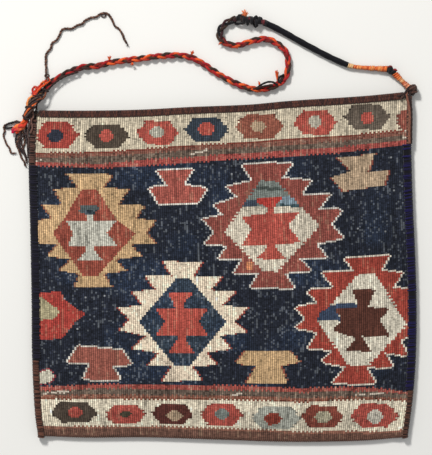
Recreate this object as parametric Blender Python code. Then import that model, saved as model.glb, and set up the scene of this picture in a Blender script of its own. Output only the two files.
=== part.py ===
"""Small kilim shoulder bag lying on its back, mouth towards +Y, pattern up, in metres.

One strip of tapestry-woven wool is folded at the bottom edge into a front and a back panel. The side
edges are overcast together in brown and indigo wool, and each panel's mouth edge has a rolled brown
binding. A strap joined from a braid, a smooth navy cord and whipped orange cord lies on the floor.

The pattern is laid out on a chart. Its unit is one pixel of the reference photograph, x to the right
and y down, and lay() turns a chart point into metres.
"""

import math

import bmesh
import bpy
from mathutils import Vector
from mathutils.geometry import delaunay_2d_cdt

# Driving sizes in metres
BAG_WIDTH = 0.4095
BAG_HEIGHT = 0.3745
CLOTH_THICKNESS = 0.0026
POCKET_GAP = 0.0072
SIDE_GAP = 0.0008
FOLD_GAP = 0.0016
FIELD_RELIEF = 0.0005
CLEARANCE = 0.0003
SEAM_WALL = 0.0011
SEAM_LIP = 0.0060
SEAM_BEAD = 0.0030
BINDING_LIP = 0.0042
BINDING_BEAD = 0.0034
SEAM_LIP_CHAMFER = (0.0006, 0.0003)
BINDING_LIP_ROUNDING = (0.0012, 0.0005, 0.0004)
FOLD_BAND_HEIGHT = 0.0105
EDGE_RAMP = 0.026
BOTTOM_DELAY = 0.3  # share of the ramp that stays shut next to the fold
FLAT_MARGIN = 0.004  # what the flat middle gives up beside the ramps, where the bag narrows
LIFT_RAMP = 0.010
CORNER_KNOT_RADIUS = 0.0052
BRAID_DIAMETER = 0.0080
NAVY_CORD_DIAMETER = 0.0066
UPPER_WRAP_DIAMETER = 0.0068
STRAP_KNOT_DIAMETER = 0.0118
WHIPPING_DIAMETER = 0.0092
LOWER_WRAP_DIAMETER = 0.0078
LEFT_TIE_DIAMETER = 0.0100
TASSEL_DIAMETER = 0.0074
TIE_CORD_DIAMETER = 0.0026
STRAND_DIAMETER = 0.0022

# The lying bag's outline on the chart
CHART_WIDTH = 389.0
CHART_HEIGHT = 356.0
CHART_MIDDLE = (223.0, 263.7)
LEFT_EDGE = (
    (31.0, 106), (29.0, 135), (28.2, 165), (29.5, 215), (30.5, 260), (31.2, 304), (31.8, 360),
    (34.7, 415), (38.0, 438),
)
RIGHT_EDGE = (
    (412.5, 90), (412.0, 118), (411.8, 152), (413.2, 200), (415.4, 250), (417.0, 304), (416.5, 350),
    (414.0, 391), (408.0, 438),
)
MOUTH_EDGE = (
    (28, 109.5), (60, 110.5), (100, 110.5), (144, 109.5), (190, 107), (250, 104.5), (288, 101),
    (370, 95.5), (414, 90.5),
)
FOLD_EDGE = (
    (36, 436.6), (85, 438.5), (144, 438.2), (220, 440.6), (288, 442.7), (360, 441.7), (410, 437.6),
)

# Where the overcasting changes colour, as chart y
LEFT_SEAM_BREAKS = (110.5, 165.0, 361.0, 438.0)
RIGHT_SEAM_BREAKS = (94.8, 144.5, 391.0, 438.0)

# Cords, as hand-chosen route points: chart x, chart y and height above the floor in metres
BRAID_ROUTE = (
    (45.0, 88.5, 0.0052), (51, 82, 0.0042), (60, 76, 0.0041), (72, 70, 0.0040), (84, 66.3, 0.0040),
    (97, 65.2, 0.0040), (110, 61.8, 0.0040), (127, 59.5, 0.0040), (144, 57.5, 0.0040),
    (160, 55.4, 0.0040), (176, 54.5, 0.0040), (190, 56.6, 0.0040), (203, 63, 0.0040),
    (217, 72.5, 0.0040), (232, 81, 0.0040), (248, 87.3, 0.0040), (262, 88.8, 0.0040),
    (276, 84.8, 0.0040), (285, 77.5, 0.0040), (288.4, 66, 0.0041), (286.8, 53, 0.0042),
    (279, 44, 0.0044), (266, 38.2, 0.0044), (252, 40.5, 0.0044), (238, 44.5, 0.0042),
    (226, 42.5, 0.0042), (219.8, 35, 0.0042), (221.5, 27, 0.0042), (229, 20.6, 0.0042),
    (236, 18.2, 0.0042),
)
STRAP_KNOT_ROUTE = (
    (237.3, 17.7, 0.0047), (240.5, 17.0, 0.0055), (245, 18.0, 0.0064), (251, 19.4, 0.0064),
    (258, 20.0, 0.0061), (263.0, 21.5, 0.0051),
)
NAVY_ROUTE = (
    (264.1, 21.7, 0.0042), (272, 25.2, 0.0034), (283, 30.8, 0.0034), (296, 38.2, 0.0034),
    (310, 45.9, 0.0034), (325, 53.8, 0.0034), (338, 60.0, 0.0034), (348.2, 64.4, 0.0036),
)
UPPER_WRAP_ROUTE = (
    (349.0, 64.8, 0.0037), (357, 66.4, 0.0035), (366, 67.2, 0.0035), (376, 67.8, 0.0035),
    (387.2, 68.4, 0.0040),
)
WHIPPING_ROUTE = (
    (388.2, 68.5, 0.0046), (390.6, 69.3, 0.0048), (393.0, 71.0, 0.0048), (395.0, 73.0, 0.0048),
)
LOWER_WRAP_ROUTE = (
    (395.5, 73.5, 0.0047), (399, 77.0, 0.0045), (403, 80.9, 0.0048), (408.5, 86.3, 0.0056),
)
LEFT_TIE_ROUTE = (
    (44.5, 89.1, 0.0054), (39, 94, 0.0070), (35.0, 99, 0.0110), (31.5, 105, 0.0143),
    (28.2, 112, 0.0143), (25.4, 119, 0.0110),
)
TASSEL_ROUTE = (
    (25.1, 119.75, 0.0107), (23.9, 122.9, 0.0090), (22.4, 125.0, 0.0070), (18.5, 127.8, 0.0044),
    (14.2, 131.4, 0.0039),
)
TIE_CORD_ROUTE = (
    (49.2, 80.4, 0.0097), (46.6, 75.5, 0.0066), (45.2, 66.5, 0.0019), (45.9, 60, 0.0014),
    (46.0, 54, 0.0014), (49.0, 48.6, 0.0014), (51.2, 43.6, 0.0014), (55.0, 39.6, 0.0014),
    (58, 35, 0.0014), (61.2, 30, 0.0014), (65.5, 27.6, 0.0014), (71, 27.8, 0.0014),
    (76.5, 24.6, 0.0014), (83, 21, 0.0014), (90, 17.8, 0.0014), (97, 14.3, 0.0014),
    (102.5, 12.4, 0.0014), (107.2, 13.4, 0.0014), (110.4, 17.2, 0.0014), (113, 22, 0.0014),
    (117, 26.6, 0.0014), (120.8, 32.2, 0.0014), (124, 38.2, 0.0014), (126.5, 42.5, 0.0014),
)
# Loose ends of the tie, from the tassel down the left seam, and one loop that wanders off to the left
TAIL_ROUTES = {
    "tie_tail_outer": (
        (20.6, 132.0, 0.0014), (17.6, 137, 0.0014), (16.2, 143, 0.0014), (17.2, 149, 0.0014),
        (20.2, 155, 0.0014), (22.8, 160.5, 0.0014), (25.2, 165.5, 0.0016),
    ),
    "tie_tail_inner": (
        (22.6, 130.6, 0.0038), (22.8, 136, 0.0018), (24.0, 141, 0.0014), (22.6, 146.5, 0.0014),
        (23.2, 152, 0.0014), (25.0, 157, 0.0016), (25.7, 161.5, 0.0020),
    ),
    "tie_loop": (
        (19.4, 121.5, 0.0056), (16.2, 120.7, 0.0030), (12, 121.4, 0.0016), (7, 123.4, 0.0014),
        (3.8, 126.2, 0.0014), (3.4, 130.4, 0.0014), (3.2, 134.8, 0.0014), (4.2, 139.4, 0.0014),
        (6.4, 144.2, 0.0014), (8.4, 149, 0.0014), (10.8, 152.4, 0.0014), (14.4, 152.8, 0.0014),
    ),
}

# Colour fields. Level 1 fields stand one relief above the ground, level 2 fields lie on them, and so on
NAVY = (0.021, 0.027, 0.043)
CREAM = (0.49, 0.40, 0.30)
BROWN = (0.068, 0.026, 0.020)
INDIGO = (0.012, 0.010, 0.045)
RED = (0.45, 0.055, 0.045)
MAROON = (0.27, 0.070, 0.045)
OCHRE = (0.58, 0.35, 0.14)
BRICK = (0.33, 0.065, 0.052)
IVORY = (0.76, 0.61, 0.43)
OFF_WHITE = (0.50, 0.48, 0.38)
TEAL = (0.017, 0.033, 0.043)
CHARCOAL = (0.066, 0.048, 0.038)
TAN = (0.39, 0.26, 0.155)
SLATE = (0.20, 0.215, 0.19)
STRAP_RED = (0.43, 0.014, 0.010)
STRAP_BLACK = (0.008, 0.008, 0.011)
STRAP_ORANGE = (0.80, 0.20, 0.045)
TIE_BROWN = (0.045, 0.019, 0.013)

BORDER_LINES = (
    (BRICK, ((36, 149.6), (110, 148.4), (144, 145.4), (288, 138.6), (408, 130.6)), 4.2),
    (RED, ((36, 161.8), (110, 163.0), (144, 158.4), (200, 155.0), (288, 149.0), (408, 140.6)), 4.6),
    (RED, ((39, 386.6), (170, 385.6), (288, 386.8), (408, 391.6)), 3.6),
    (BRICK, ((39, 395.6), (170, 395.6), (288, 395.8), (408, 397.6)), 3.8),
)
# Hexagons: left, right, top, bottom, colour, then the same for the inner one
HEXAGONS = (
    ((39, 77.5, 122, 147.5), RED, (47.5, 63, 130, 142), NAVY),
    ((85, 129, 124.3, 146.6), CHARCOAL, (100, 113, 130, 141.5), RED),
    ((137.6, 178.4, 121, 143.6), RED, (150, 164, 126.5, 137.7), OFF_WHITE),
    ((185, 228, 118, 140.6), TEAL, (199, 214, 122, 135.7), RED),
    ((235.6, 283.6, 114.4, 137.4), BRICK, (251.6, 265, 121, 132), TAN),
    ((294, 336.5, 110.5, 133.6), RED, (309, 320.5, 115, 128), OFF_WHITE),
    ((344.7, 389.8, 105.2, 128.4), CHARCOAL, (360.7, 373.8, 112.5, 123.6), RED),
    ((51, 97.3, 402, 423), CHARCOAL, (68.4, 81.9, 407.5, 418), RED),
    ((106, 145, 404.6, 424.4), RED, (120, 131, 411, 417), CHARCOAL),
    ((151.7, 193, 403.7, 424.4), BROWN, (167, 182, 411, 421), TAN),
    ((200.3, 242.2, 404.2, 425.8), RED, (215.3, 228.7, 408.5, 419.6), SLATE),
    ((252, 296, 406.6, 429), SLATE, (264.4, 281.2, 412.8, 425.3), MAROON),
    ((301.5, 343.4, 405.6, 428.2), MAROON, (315.4, 331.3, 410.9, 423.4), OFF_WHITE),
    ((350.6, 398.3, 403.7, 427.7), RED, (367.9, 382.4, 409.9, 423.9), OFF_WHITE),
)
# Stepped medallions, each as (level, colour, outline)
TAN_MEDALLION = (
    (1, OCHRE, (
        (67.4, 174.3), (112.4, 174.3), (102.8, 188), (129, 188.8), (117.8, 204.8), (145, 205.3),
        (134.7, 219), (155.6, 220), (146, 233.4), (155.6, 243), (130.4, 245), (141.5, 256),
        (114.9, 259.6), (126, 270.8), (102.8, 274), (112, 287.7), (75.6, 287.7), (79.5, 274),
        (59.6, 270.8), (71.3, 259.6), (47, 256), (58, 245), (39.6, 243), (39.6, 220), (52.8, 219),
        (42.7, 205.3), (62, 204.8), (54.8, 188.8), (79, 188),
    )),
    (2, BRICK, (
        (81.4, 191.5), (97, 191.5), (113.5, 219.6), (133.0, 233.4), (97.9, 271.5), (82.9, 271.5),
        (54.5, 233.4), (66, 219.6),
    )),
    (3, OFF_WHITE, (
        (86.4, 214.5), (94.3, 214.5), (94.3, 220.3), (113.0, 221.5), (107, 232.5), (114.5, 244.0),
        (94.5, 245), (100.5, 260.6), (80, 260.6), (86.3, 245), (67.9, 244.0), (73.2, 232.5),
        (67.5, 221.5), (86.4, 220.3),
    )),
)
BROWN_MEDALLION = (
    (1, MAROON, (
        (241.4, 166), (292.4, 163), (281.6, 178), (310.8, 180.6), (301, 194.7), (329.7, 194.7),
        (318.5, 209.2), (342.8, 209.7), (331, 224.2), (343.3, 237.8), (316, 244), (326.8, 257.7),
        (298.7, 258.6), (311.3, 270.3), (283.6, 273.2), (294.3, 287.7), (249.7, 288.2),
        (258.9, 273.2), (233.7, 273.2), (242.9, 258.6), (218.2, 258.6), (228.3, 245.5),
        (204.6, 243.6), (214.8, 232), (202.6, 219), (224, 215), (213.8, 205.3), (237.5, 197),
        (226.9, 186.4), (253.5, 180.6),
    )),
    (2, OFF_WHITE, (
        (258.3, 182.6), (277.8, 182.6), (296.5, 207), (318.0, 225.7), (277, 270.4), (264, 270.4),
        (226.5, 232.5), (243.8, 208),
    )),
    (3, BRICK, (
        (262, 199), (279.4, 199), (272.8, 212.0), (296.8, 213.4), (288, 225.7), (298.0, 240.6),
        (274.2, 243.6), (284.0, 259), (258, 259), (266.8, 243.6), (244.4, 243.6), (251.6, 229.5),
        (243.6, 217.2), (267.4, 212.0),
    )),
)
IVORY_MEDALLION = (
    (1, IVORY, (
        (163, 261.5), (202, 261.5), (193.4, 276), (221.5, 276.6), (210.9, 290), (235.6, 291.6),
        (222, 305), (246.6, 308), (234.5, 321.8), (246.6, 332), (220, 336), (231.2, 348.8),
        (206, 353), (216.7, 364.7), (192.2, 366.6), (202.3, 381), (162.3, 381), (171.9, 366.6),
        (148.3, 364.7), (160, 353), (132.4, 348.8), (146, 336), (119.4, 330), (130, 319.4),
        (118, 308), (143, 305), (132, 291), (156, 290), (145.5, 275), (172.6, 276),
    )),
    (2, TEAL, (
        (176, 280), (189.6, 280), (224.5, 321.8), (190, 364.6), (174.8, 364.6), (141, 321.8),
    )),
    (3, BRICK, (
        (169, 293.6), (192, 293.6), (184.6, 305.0), (205.6, 308.8), (198.4, 321.3), (206, 335),
        (185.4, 336), (193, 352.6), (170, 352.6), (177.2, 336), (158.4, 335), (164.7, 321.3),
        (157.8, 308.8), (175.6, 305.0),
    )),
)
RED_MEDALLION = (
    (1, RED, (
        (343.7, 258), (389.3, 255.7), (380.6, 270.7), (402.9, 272.7), (393.2, 287.7), (407.0, 291),
        (407.0, 334), (400.2, 340), (407.0, 350), (404.5, 355.6), (384.3, 353), (392.5, 366.6),
        (366.5, 367.6), (375.6, 383.5), (331.8, 383.5), (345.8, 367), (321.2, 361.8),
        (332.8, 350.2), (307.7, 347.8), (317.9, 332.4), (294.7, 327.6), (305.3, 319),
        (295.7, 307.4), (318.5, 303.0), (306.4, 290.6), (333.6, 287.7), (322.9, 272.7),
        (354.4, 270.7),
    )),
    (2, OFF_WHITE, (
        (357.8, 275.5), (375.2, 275.5), (404.6, 322.0), (366.2, 364.0), (350.6, 364.0),
        (319, 321.3),
    )),
    (3, BROWN, (
        (353, 291), (374.5, 291), (368.5, 305.5), (389, 309.5), (383.3, 321.3), (387, 335),
        (362.3, 337), (370, 351.4), (346, 351.4), (357.3, 337), (334.6, 335), (343, 321.3),
        (338.5, 309.5), (362.5, 305.5),
    )),
)
SMALL_MOTIFS = (
    (1, RED, ((39.6, 292.4), (62, 292.4), (84, 314.6), (62, 341), (39.6, 341))),
    (2, TAN, ((41.0, 305), (56, 305), (62.5, 312.5), (56, 320), (41.0, 320))),
    (1, RED, (
        (157, 170), (192.5, 170), (183.3, 185.4), (207, 188), (197.3, 203.4), (159, 203.4),
        (148.8, 188), (167.7, 185.4),
    )),
    (1, TAN, (
        (338, 158), (375, 154.5), (367.5, 171.4), (389.8, 169.4), (383.5, 185.4), (343.7, 191.3),
        (330.7, 177.7), (351, 173.4),
    )),
    (1, MAROON, (
        (78, 346), (122.3, 351), (131.5, 363.2), (112.7, 365.6), (120.9, 380), (82.3, 380),
        (90.5, 365.6), (67, 361.8),
    )),
    (1, OCHRE, (
        (246, 351), (290, 351), (300.5, 361.8), (278, 369), (289, 382.5), (246.6, 382.5),
        (258, 369), (235, 365.2),
    )),
    (1, IVORY, ((40.5, 369.5), (55, 369.5), (55, 383.5), (40.5, 383.5))),
)
# Half the length of a hexagon's flat top and bottom, as a share of its width, and its cut corners' height
HEXAGON_FLAT = 0.27
HEXAGON_SHOULDER = 0.24
HEXAGON_CUT = 0.08  # how far its slanted corners stand in, as a share of its width

MIDDLE_COLUMNS = 17
MIDDLE_ROWS = 13
RAMP_STEPS = 4
FOLD_STEPS = 7
SEAM_RINGS = 40
CORD_STEP_DIAMETERS = 2.0
POINT_SPACING = 2.5


def clear_scene():
    for obj in list(bpy.data.objects):
        bpy.data.objects.remove(obj, do_unlink=True)


def material(name, colour, roughness=0.9):
    made = bpy.data.materials.new(name)
    made.use_nodes = True
    shader = made.node_tree.nodes["Principled BSDF"]
    shader.inputs["Base Color"].default_value = (*colour, 1.0)
    shader.inputs["Roughness"].default_value = roughness
    shader.inputs["Metallic"].default_value = 0.0
    made.diffuse_color = (*colour, 1.0)
    return made


def lay(x, y, z=0.0):
    """Chart point to metres, with the bag's middle at the origin."""
    across = (x - CHART_MIDDLE[0]) * BAG_WIDTH / CHART_WIDTH
    up = (CHART_MIDDLE[1] - y) * BAG_HEIGHT / CHART_HEIGHT
    return Vector((across, up, z))


def chart(size):
    """A length in metres as chart units across the bag."""
    return size * CHART_WIDTH / BAG_WIDTH


def through(points, key, axis=0):
    """The smooth curve through a list of points, read at one coordinate: Hermite spans with mean slopes."""
    last = len(points) - 1
    start = 0
    while start < last - 1 and points[start + 1][axis] < key:
        start += 1
    a, b = points[start], points[start + 1]
    span = b[axis] - a[axis]
    other = 1 - axis

    def slope(i):
        low, high = points[max(i - 1, 0)], points[min(i + 1, last)]
        return (high[other] - low[other]) / (high[axis] - low[axis])

    t = min(max((key - a[axis]) / span, 0.0), 1.0)
    m0, m1 = slope(start) * span, slope(start + 1) * span
    return (
        (2 * t**3 - 3 * t**2 + 1) * a[other] + (t**3 - 2 * t**2 + t) * m0
        + (-2 * t**3 + 3 * t**2) * b[other] + (t**3 - t**2) * m1
    )


def left_x(y):
    return through(LEFT_EDGE, y, axis=1)


def right_x(y):
    return through(RIGHT_EDGE, y, axis=1)


def mouth_y(x):
    return through(MOUTH_EDGE, x)


def fold_y(x):
    return through(FOLD_EDGE, x)


def smooth(value):
    value = min(max(value, 0.0), 1.0)
    return value * value * (3 - 2 * value)


def side_distance(x, y):
    """Distance in metres from the nearer cloth side."""
    inset = chart(SEAM_BEAD)
    return min(x - left_x(y) - inset, right_x(y) - inset - x) / chart(1.0)


def lift(x, y):
    """How far the back panel's underside is held off the floor by the seams and the back binding."""
    from_mouth = (y - mouth_y(x)) / chart(1.0) - BINDING_BEAD
    edge = min(side_distance(x, y) - SEAM_LIP, from_mouth - BINDING_LIP)
    return (SEAM_WALL + CLEARANCE) * (1 - smooth((edge - CLEARANCE) / LIFT_RAMP))


def pocket(x, y):
    """Clear gap between the panels: closed by the side seams, open over the middle and at the mouth."""
    sides = smooth((side_distance(x, y) - SEAM_LIP - CLEARANCE) / EDGE_RAMP)
    bottom = smooth((fold_y(x) - y) / chart(EDGE_RAMP) - BOTTOM_DELAY)
    closed = SIDE_GAP + (FOLD_GAP - SIDE_GAP) * sides
    return closed + (POCKET_GAP - closed) * sides * bottom


def front_height(x, y):
    return lift(x, y) + 2 * CLOTH_THICKNESS + pocket(x, y)


def half_stack(x):
    """Half the height of the fold, which is also the cloth's outer bend radius there."""
    y = fold_y(x)
    return (2 * CLOTH_THICKNESS + pocket(x, y)) / 2


def cloth_edges(v):
    """Chart points of the cloth's left and right side at a share v of the way from mouth to fold."""
    inset = chart(SEAM_BEAD)
    ends = []
    for side, sign in ((left_x, 1), (right_x, -1)):
        corner_x = side(LEFT_EDGE[0][1] if sign > 0 else RIGHT_EDGE[0][1]) + sign * inset
        top = mouth_y(corner_x) + chart(BINDING_BEAD)
        foot_x = side(LEFT_EDGE[-1][1]) + sign * inset
        bottom = fold_y(foot_x) - chart(half_stack(foot_x))
        y = top + (bottom - top) * v
        ends.append((side(y) + sign * inset, y))
    return ends


def panel_point(u, v):
    """Chart point of a panel: u from left to right, v from the mouth to where the fold begins."""
    (x0, y0), (x1, y1) = cloth_edges(v)
    x = x0 + (x1 - x0) * u
    straight = y0 + (y1 - y0) * u
    (a0, b0), (a1, b1) = cloth_edges(0.0)
    (c0, d0), (c1, d1) = cloth_edges(1.0)
    top_bow = mouth_y(a0 + (a1 - a0) * u) + chart(BINDING_BEAD) - (b0 + (b1 - b0) * u)
    foot_x = c0 + (c1 - c0) * u
    bottom_bow = fold_y(foot_x) - chart(half_stack(foot_x)) - (d0 + (d1 - d0) * u)
    return x, straight + top_bow * (1 - v) + bottom_bow * v


def hexagon(left, right, top, bottom):
    width = right - left
    height = bottom - top
    middle = (top + bottom) / 2
    flat = width * HEXAGON_FLAT
    x = (left + right) / 2
    shoulder = height * HEXAGON_SHOULDER
    cut = width * HEXAGON_CUT
    return (
        (x - flat, top), (x + flat, top), (right - cut, middle - shoulder), (right, middle),
        (right - cut, middle + shoulder), (x + flat, bottom), (x - flat, bottom),
        (left + cut, middle + shoulder), (left, middle), (left + cut, middle - shoulder),
    )


def ribbon(points, width, left, right):
    """A border line's outline: its upper edge's points joined back along its lower edge."""
    places = (left + (right - left) * share for share in column_shares())
    upper = [(x, through(points, x)) for x in places]
    return tuple(upper) + tuple((x, y + width) for x, y in reversed(upper))


def fields():
    """Every colour field as (level, colour, outline)."""
    margin = chart(SEAM_BEAD + SEAM_LIP + 3 * CLEARANCE)
    found = []
    for colour, points, width in BORDER_LINES:
        left = left_x(points[0][1]) + margin
        right = right_x(points[-1][1]) - margin
        found.append((1, colour, ribbon(points, width, left, right)))
    for outer, colour, inner, inner_colour in HEXAGONS:
        found.append((1, colour, hexagon(*outer)))
        found.append((2, inner_colour, hexagon(*inner)))
    for motif in (TAN_MEDALLION, BROWN_MEDALLION, IVORY_MEDALLION, RED_MEDALLION, SMALL_MOTIFS):
        found.extend(motif)
    kept = []
    for level, colour, outline in found:
        inside = []
        for x, y in outline:
            low, high = left_x(y) + margin, right_x(y) - margin
            inside.append((min(max(x, low), high), y))
        kept.append((level, colour, tuple(inside)))
    return kept


def contains(outline, x, y):
    inside = False
    for (ax, ay), (bx, by) in zip(outline, outline[1:] + outline[:1]):
        if (ay > y) != (by > y) and x < ax + (bx - ax) * (y - ay) / (by - ay):
            inside = not inside
    return inside


def distance_to(outline, x, y):
    best = 1e9
    for (ax, ay), (bx, by) in zip(outline, outline[1:] + outline[:1]):
        dx, dy = bx - ax, by - ay
        t = max(0.0, min(1.0, ((x - ax) * dx + (y - ay) * dy) / max(dx * dx + dy * dy, 1e-9)))
        best = min(best, math.hypot(x - ax - t * dx, y - ay - t * dy))
    return best


def ground_colour(x, y):
    """Material index of the cloth under the motifs: borders, navy ground and the plain fold band."""
    if y > fold_y(x) - chart(FOLD_BAND_HEIGHT):
        return 2
    upper_red_line, lower_red_line = BORDER_LINES[1], BORDER_LINES[2]
    ground_top = through(upper_red_line[1], x) + upper_red_line[2] / 2
    ground_foot = through(lower_red_line[1], x) + lower_red_line[2] / 2
    return 0 if ground_top < y < ground_foot else 1


def spread(low, high, count):
    return [low + (high - low) * k / count for k in range(count + 1)]


def column_shares():
    """Places of the grid's columns: one at each seam lip's end, a few up the ramp, even ones between."""
    lip = (SEAM_LIP + CLEARANCE) / BAG_WIDTH
    ramp = lip + (EDGE_RAMP + FLAT_MARGIN) / BAG_WIDTH
    left = [0.0, *spread(lip, ramp, RAMP_STEPS)]
    return left + spread(ramp, 1 - ramp, MIDDLE_COLUMNS)[1:-1] + [1 - share for share in reversed(left)]


def row_shares():
    """Places of the grid's rows from mouth to fold, closer together at the binding and near the fold."""
    lip = (BINDING_LIP + CLEARANCE) / BAG_HEIGHT
    ramp = lip + LIFT_RAMP / BAG_HEIGHT
    bend = 1 - ((1 + BOTTOM_DELAY) * EDGE_RAMP + FLAT_MARGIN) / BAG_HEIGHT
    top = [0.0, *spread(lip, ramp, RAMP_STEPS - 1)]
    return top + spread(ramp, bend, MIDDLE_ROWS)[1:] + spread(bend, 1.0, RAMP_STEPS)[1:]


def strip_grid():
    """Outer and inner points of the strip, from the back mouth edge round the fold to the front one."""
    outer, inner, charts = [], [], []
    shares = column_shares()
    for v in row_shares():
        row = [panel_point(u, v) for u in shares]
        outer.append([lay(x, y, lift(x, y)) for x, y in row])
        inner.append([lay(x, y, lift(x, y) + CLOTH_THICKNESS) for x, y in row])
        charts.append(row)
    for k in range(1, FOLD_STEPS + 1):
        angle = math.pi * (k / (FOLD_STEPS + 1) - 0.5)
        outer_row, inner_row = [], []
        for x, y in charts[-1]:
            base = lift(x, y)
            radius = CLOTH_THICKNESS + pocket(x, y) / 2
            bend = pocket(x, y) / 2
            middle = lay(x, y, base + radius)
            outer_row.append(middle + Vector((0, -math.cos(angle), math.sin(angle))) * radius)
            inner_row.append(middle + Vector((0, -math.cos(angle), math.sin(angle))) * bend)
        outer.append(outer_row)
        inner.append(inner_row)
    for row in reversed(charts):
        outer.append([lay(x, y, front_height(x, y)) for x, y in row])
        inner.append([lay(x, y, front_height(x, y) - CLOTH_THICKNESS) for x, y in row])
    return outer, inner, charts


def add_pattern(bm, border, inside_points, guides):
    """Fills the front face inside its border vertices with triangles that follow every field's outline.

    The guides are lines of grid points at the ends of the lips, which keep the cloth level under them.
    """
    all_fields = fields()
    flat = [(p[0], -p[1]) for p, _ in border]
    edges = [(i, (i + 1) % len(border)) for i in range(len(border))]
    for _, _, outline in all_fields:
        start = len(flat)
        flat.extend((x, -y) for x, y in outline)
        edges.extend((start + i, start + (i + 1) % len(outline)) for i in range(len(outline)))
    for guide in guides:
        start = len(flat)
        flat.extend((x, -y) for x, y in guide)
        edges.extend((start + i, start + i + 1) for i in range(len(guide) - 1))
    outlines = [outline for _, _, outline in all_fields]
    for x, y in inside_points:
        if all(distance_to(outline, x, y) > POINT_SPACING for outline in outlines):
            flat.append((x, -y))
    places, _, triangles, origins, _, _ = delaunay_2d_cdt([Vector(p) for p in flat], edges, [], 1, 1e-4)
    verts = []
    for place, sources in zip(places, origins):
        known = [s for s in sources if s < len(border)]
        if known:
            verts.append(border[known[0]][1])
        else:
            x, y = place.x, -place.y
            verts.append(bm.verts.new(lay(x, y, front_height(x, y))))
    levels = {}
    for triangle in triangles:
        x = sum(places[i].x for i in triangle) / 3
        y = -sum(places[i].y for i in triangle) / 3
        face = bm.faces.new([verts[i] for i in triangle])
        level, index = 0, ground_colour(x, y)
        for number, (height, _, outline) in enumerate(all_fields):
            if height > level and contains(outline, x, y):
                level, index = height, 3 + number
        face.material_index = index
        levels[face] = level
    bm.normal_update()
    for step in (1, 2, 3):
        raised = [face for face, level in levels.items() if level >= step]
        result = bmesh.ops.extrude_face_region(bm, geom=raised)
        bmesh.ops.delete(bm, geom=raised, context="FACES")
        tops = [g for g in result["geom"] if isinstance(g, bmesh.types.BMVert)]
        bmesh.ops.translate(bm, vec=(0, 0, FIELD_RELIEF), verts=tops)
        lifted = {}
        for face in (g for g in result["geom"] if isinstance(g, bmesh.types.BMFace)):
            centre = face.calc_center_median()
            x = centre.x * CHART_WIDTH / BAG_WIDTH + CHART_MIDDLE[0]
            y = CHART_MIDDLE[1] - centre.y * CHART_HEIGHT / BAG_HEIGHT
            height = max((h for h, _, outline in all_fields if contains(outline, x, y)), default=0)
            lifted[face] = height
        levels = lifted
    return all_fields


def make_body():
    outer, inner, charts = strip_grid()
    bm = bmesh.new()
    rows = len(outer)
    last = len(charts[0]) - 1
    front_start = len(charts) + FOLD_STEPS
    inner_verts = [[bm.verts.new(p) for p in row] for row in inner]
    outer_verts = []
    for r, row in enumerate(outer):
        made = []
        for i, p in enumerate(row):
            hidden = front_start < r < rows - 1 and 0 < i < last
            made.append(None if hidden else bm.verts.new(p))
        outer_verts.append(made)

    def quad(a, b, c, d, index):
        face = bm.faces.new((a, b, c, d))
        face.material_index = index

    for r in range(rows - 1):
        inside_index = 1 if r >= front_start - FOLD_STEPS - 1 else 2
        (out_a, out_b), (in_a, in_b) = outer_verts[r:r + 2], inner_verts[r:r + 2]
        for i in range(last):
            if r < front_start:
                quad(out_a[i], out_b[i], out_b[i + 1], out_a[i + 1], 2)
            quad(in_a[i], in_a[i + 1], in_b[i + 1], in_b[i], inside_index)
        quad(out_a[0], in_a[0], in_b[0], out_b[0], 2)
        quad(out_a[last], out_b[last], in_b[last], in_a[last], 2)
    for r, flip in ((0, False), (rows - 1, True)):
        for i in range(last):
            corners = [outer_verts[r][i], outer_verts[r][i + 1], inner_verts[r][i + 1], inner_verts[r][i]]
            quad(*(reversed(corners) if flip else corners), 2)

    front_rows = list(range(front_start, rows))
    loop = [(front_start, i) for i in range(last)]
    loop += [(r, last) for r in front_rows[:-1]]
    loop += [(rows - 1, i) for i in range(last, 0, -1)]
    loop += [(r, 0) for r in reversed(front_rows[1:])]
    border = [(charts[rows - 1 - r][i], outer_verts[r][i]) for r, i in loop]
    inside = [charts[rows - 1 - r][i] for r in front_rows[1:-2] for i in range(2, last - 1)]
    guides = [[row[1] for row in charts[1:-1]], [row[-2] for row in charts[1:-1]], charts[1][1:-1]]
    all_fields = add_pattern(bm, border, inside, guides)
    bmesh.ops.recalc_face_normals(bm, faces=bm.faces)
    mesh = bpy.data.meshes.new("kilim_body")
    bm.to_mesh(mesh)
    bm.free()
    for name, colour in (("ground_wool", NAVY), ("border_wool", CREAM), ("plain_band_wool", BROWN)):
        mesh.materials.append(material(name, colour))
    dyed = {}
    for _, colour, _ in all_fields:
        if colour not in dyed:
            dyed[colour] = material(f"field_wool_{len(dyed) + 1}", colour)
        mesh.materials.append(dyed[colour])
    obj = bpy.data.objects.new("kilim_body", mesh)
    bpy.context.collection.objects.link(obj)
    return obj


def sweep(name, rings, colour):
    """A closed solid from equal rings of points, with flat ends."""
    bm = bmesh.new()
    made = [[bm.verts.new(p) for p in ring] for ring in rings]
    for a, b in zip(made, made[1:]):
        for i in range(len(a)):
            j = (i + 1) % len(a)
            bm.faces.new((a[i], a[j], b[j], b[i]))
    bm.faces.new(list(reversed(made[0])))
    bm.faces.new(made[-1])
    bmesh.ops.triangulate(bm, faces=[f for f in bm.faces if len(f.verts) > 4])
    bmesh.ops.recalc_face_normals(bm, faces=bm.faces)
    mesh = bpy.data.meshes.new(name)
    bm.to_mesh(mesh)
    bm.free()
    mesh.materials.append(material(name + "_wool", colour))
    obj = bpy.data.objects.new(name, mesh)
    bpy.context.collection.objects.link(obj)
    return obj


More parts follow.
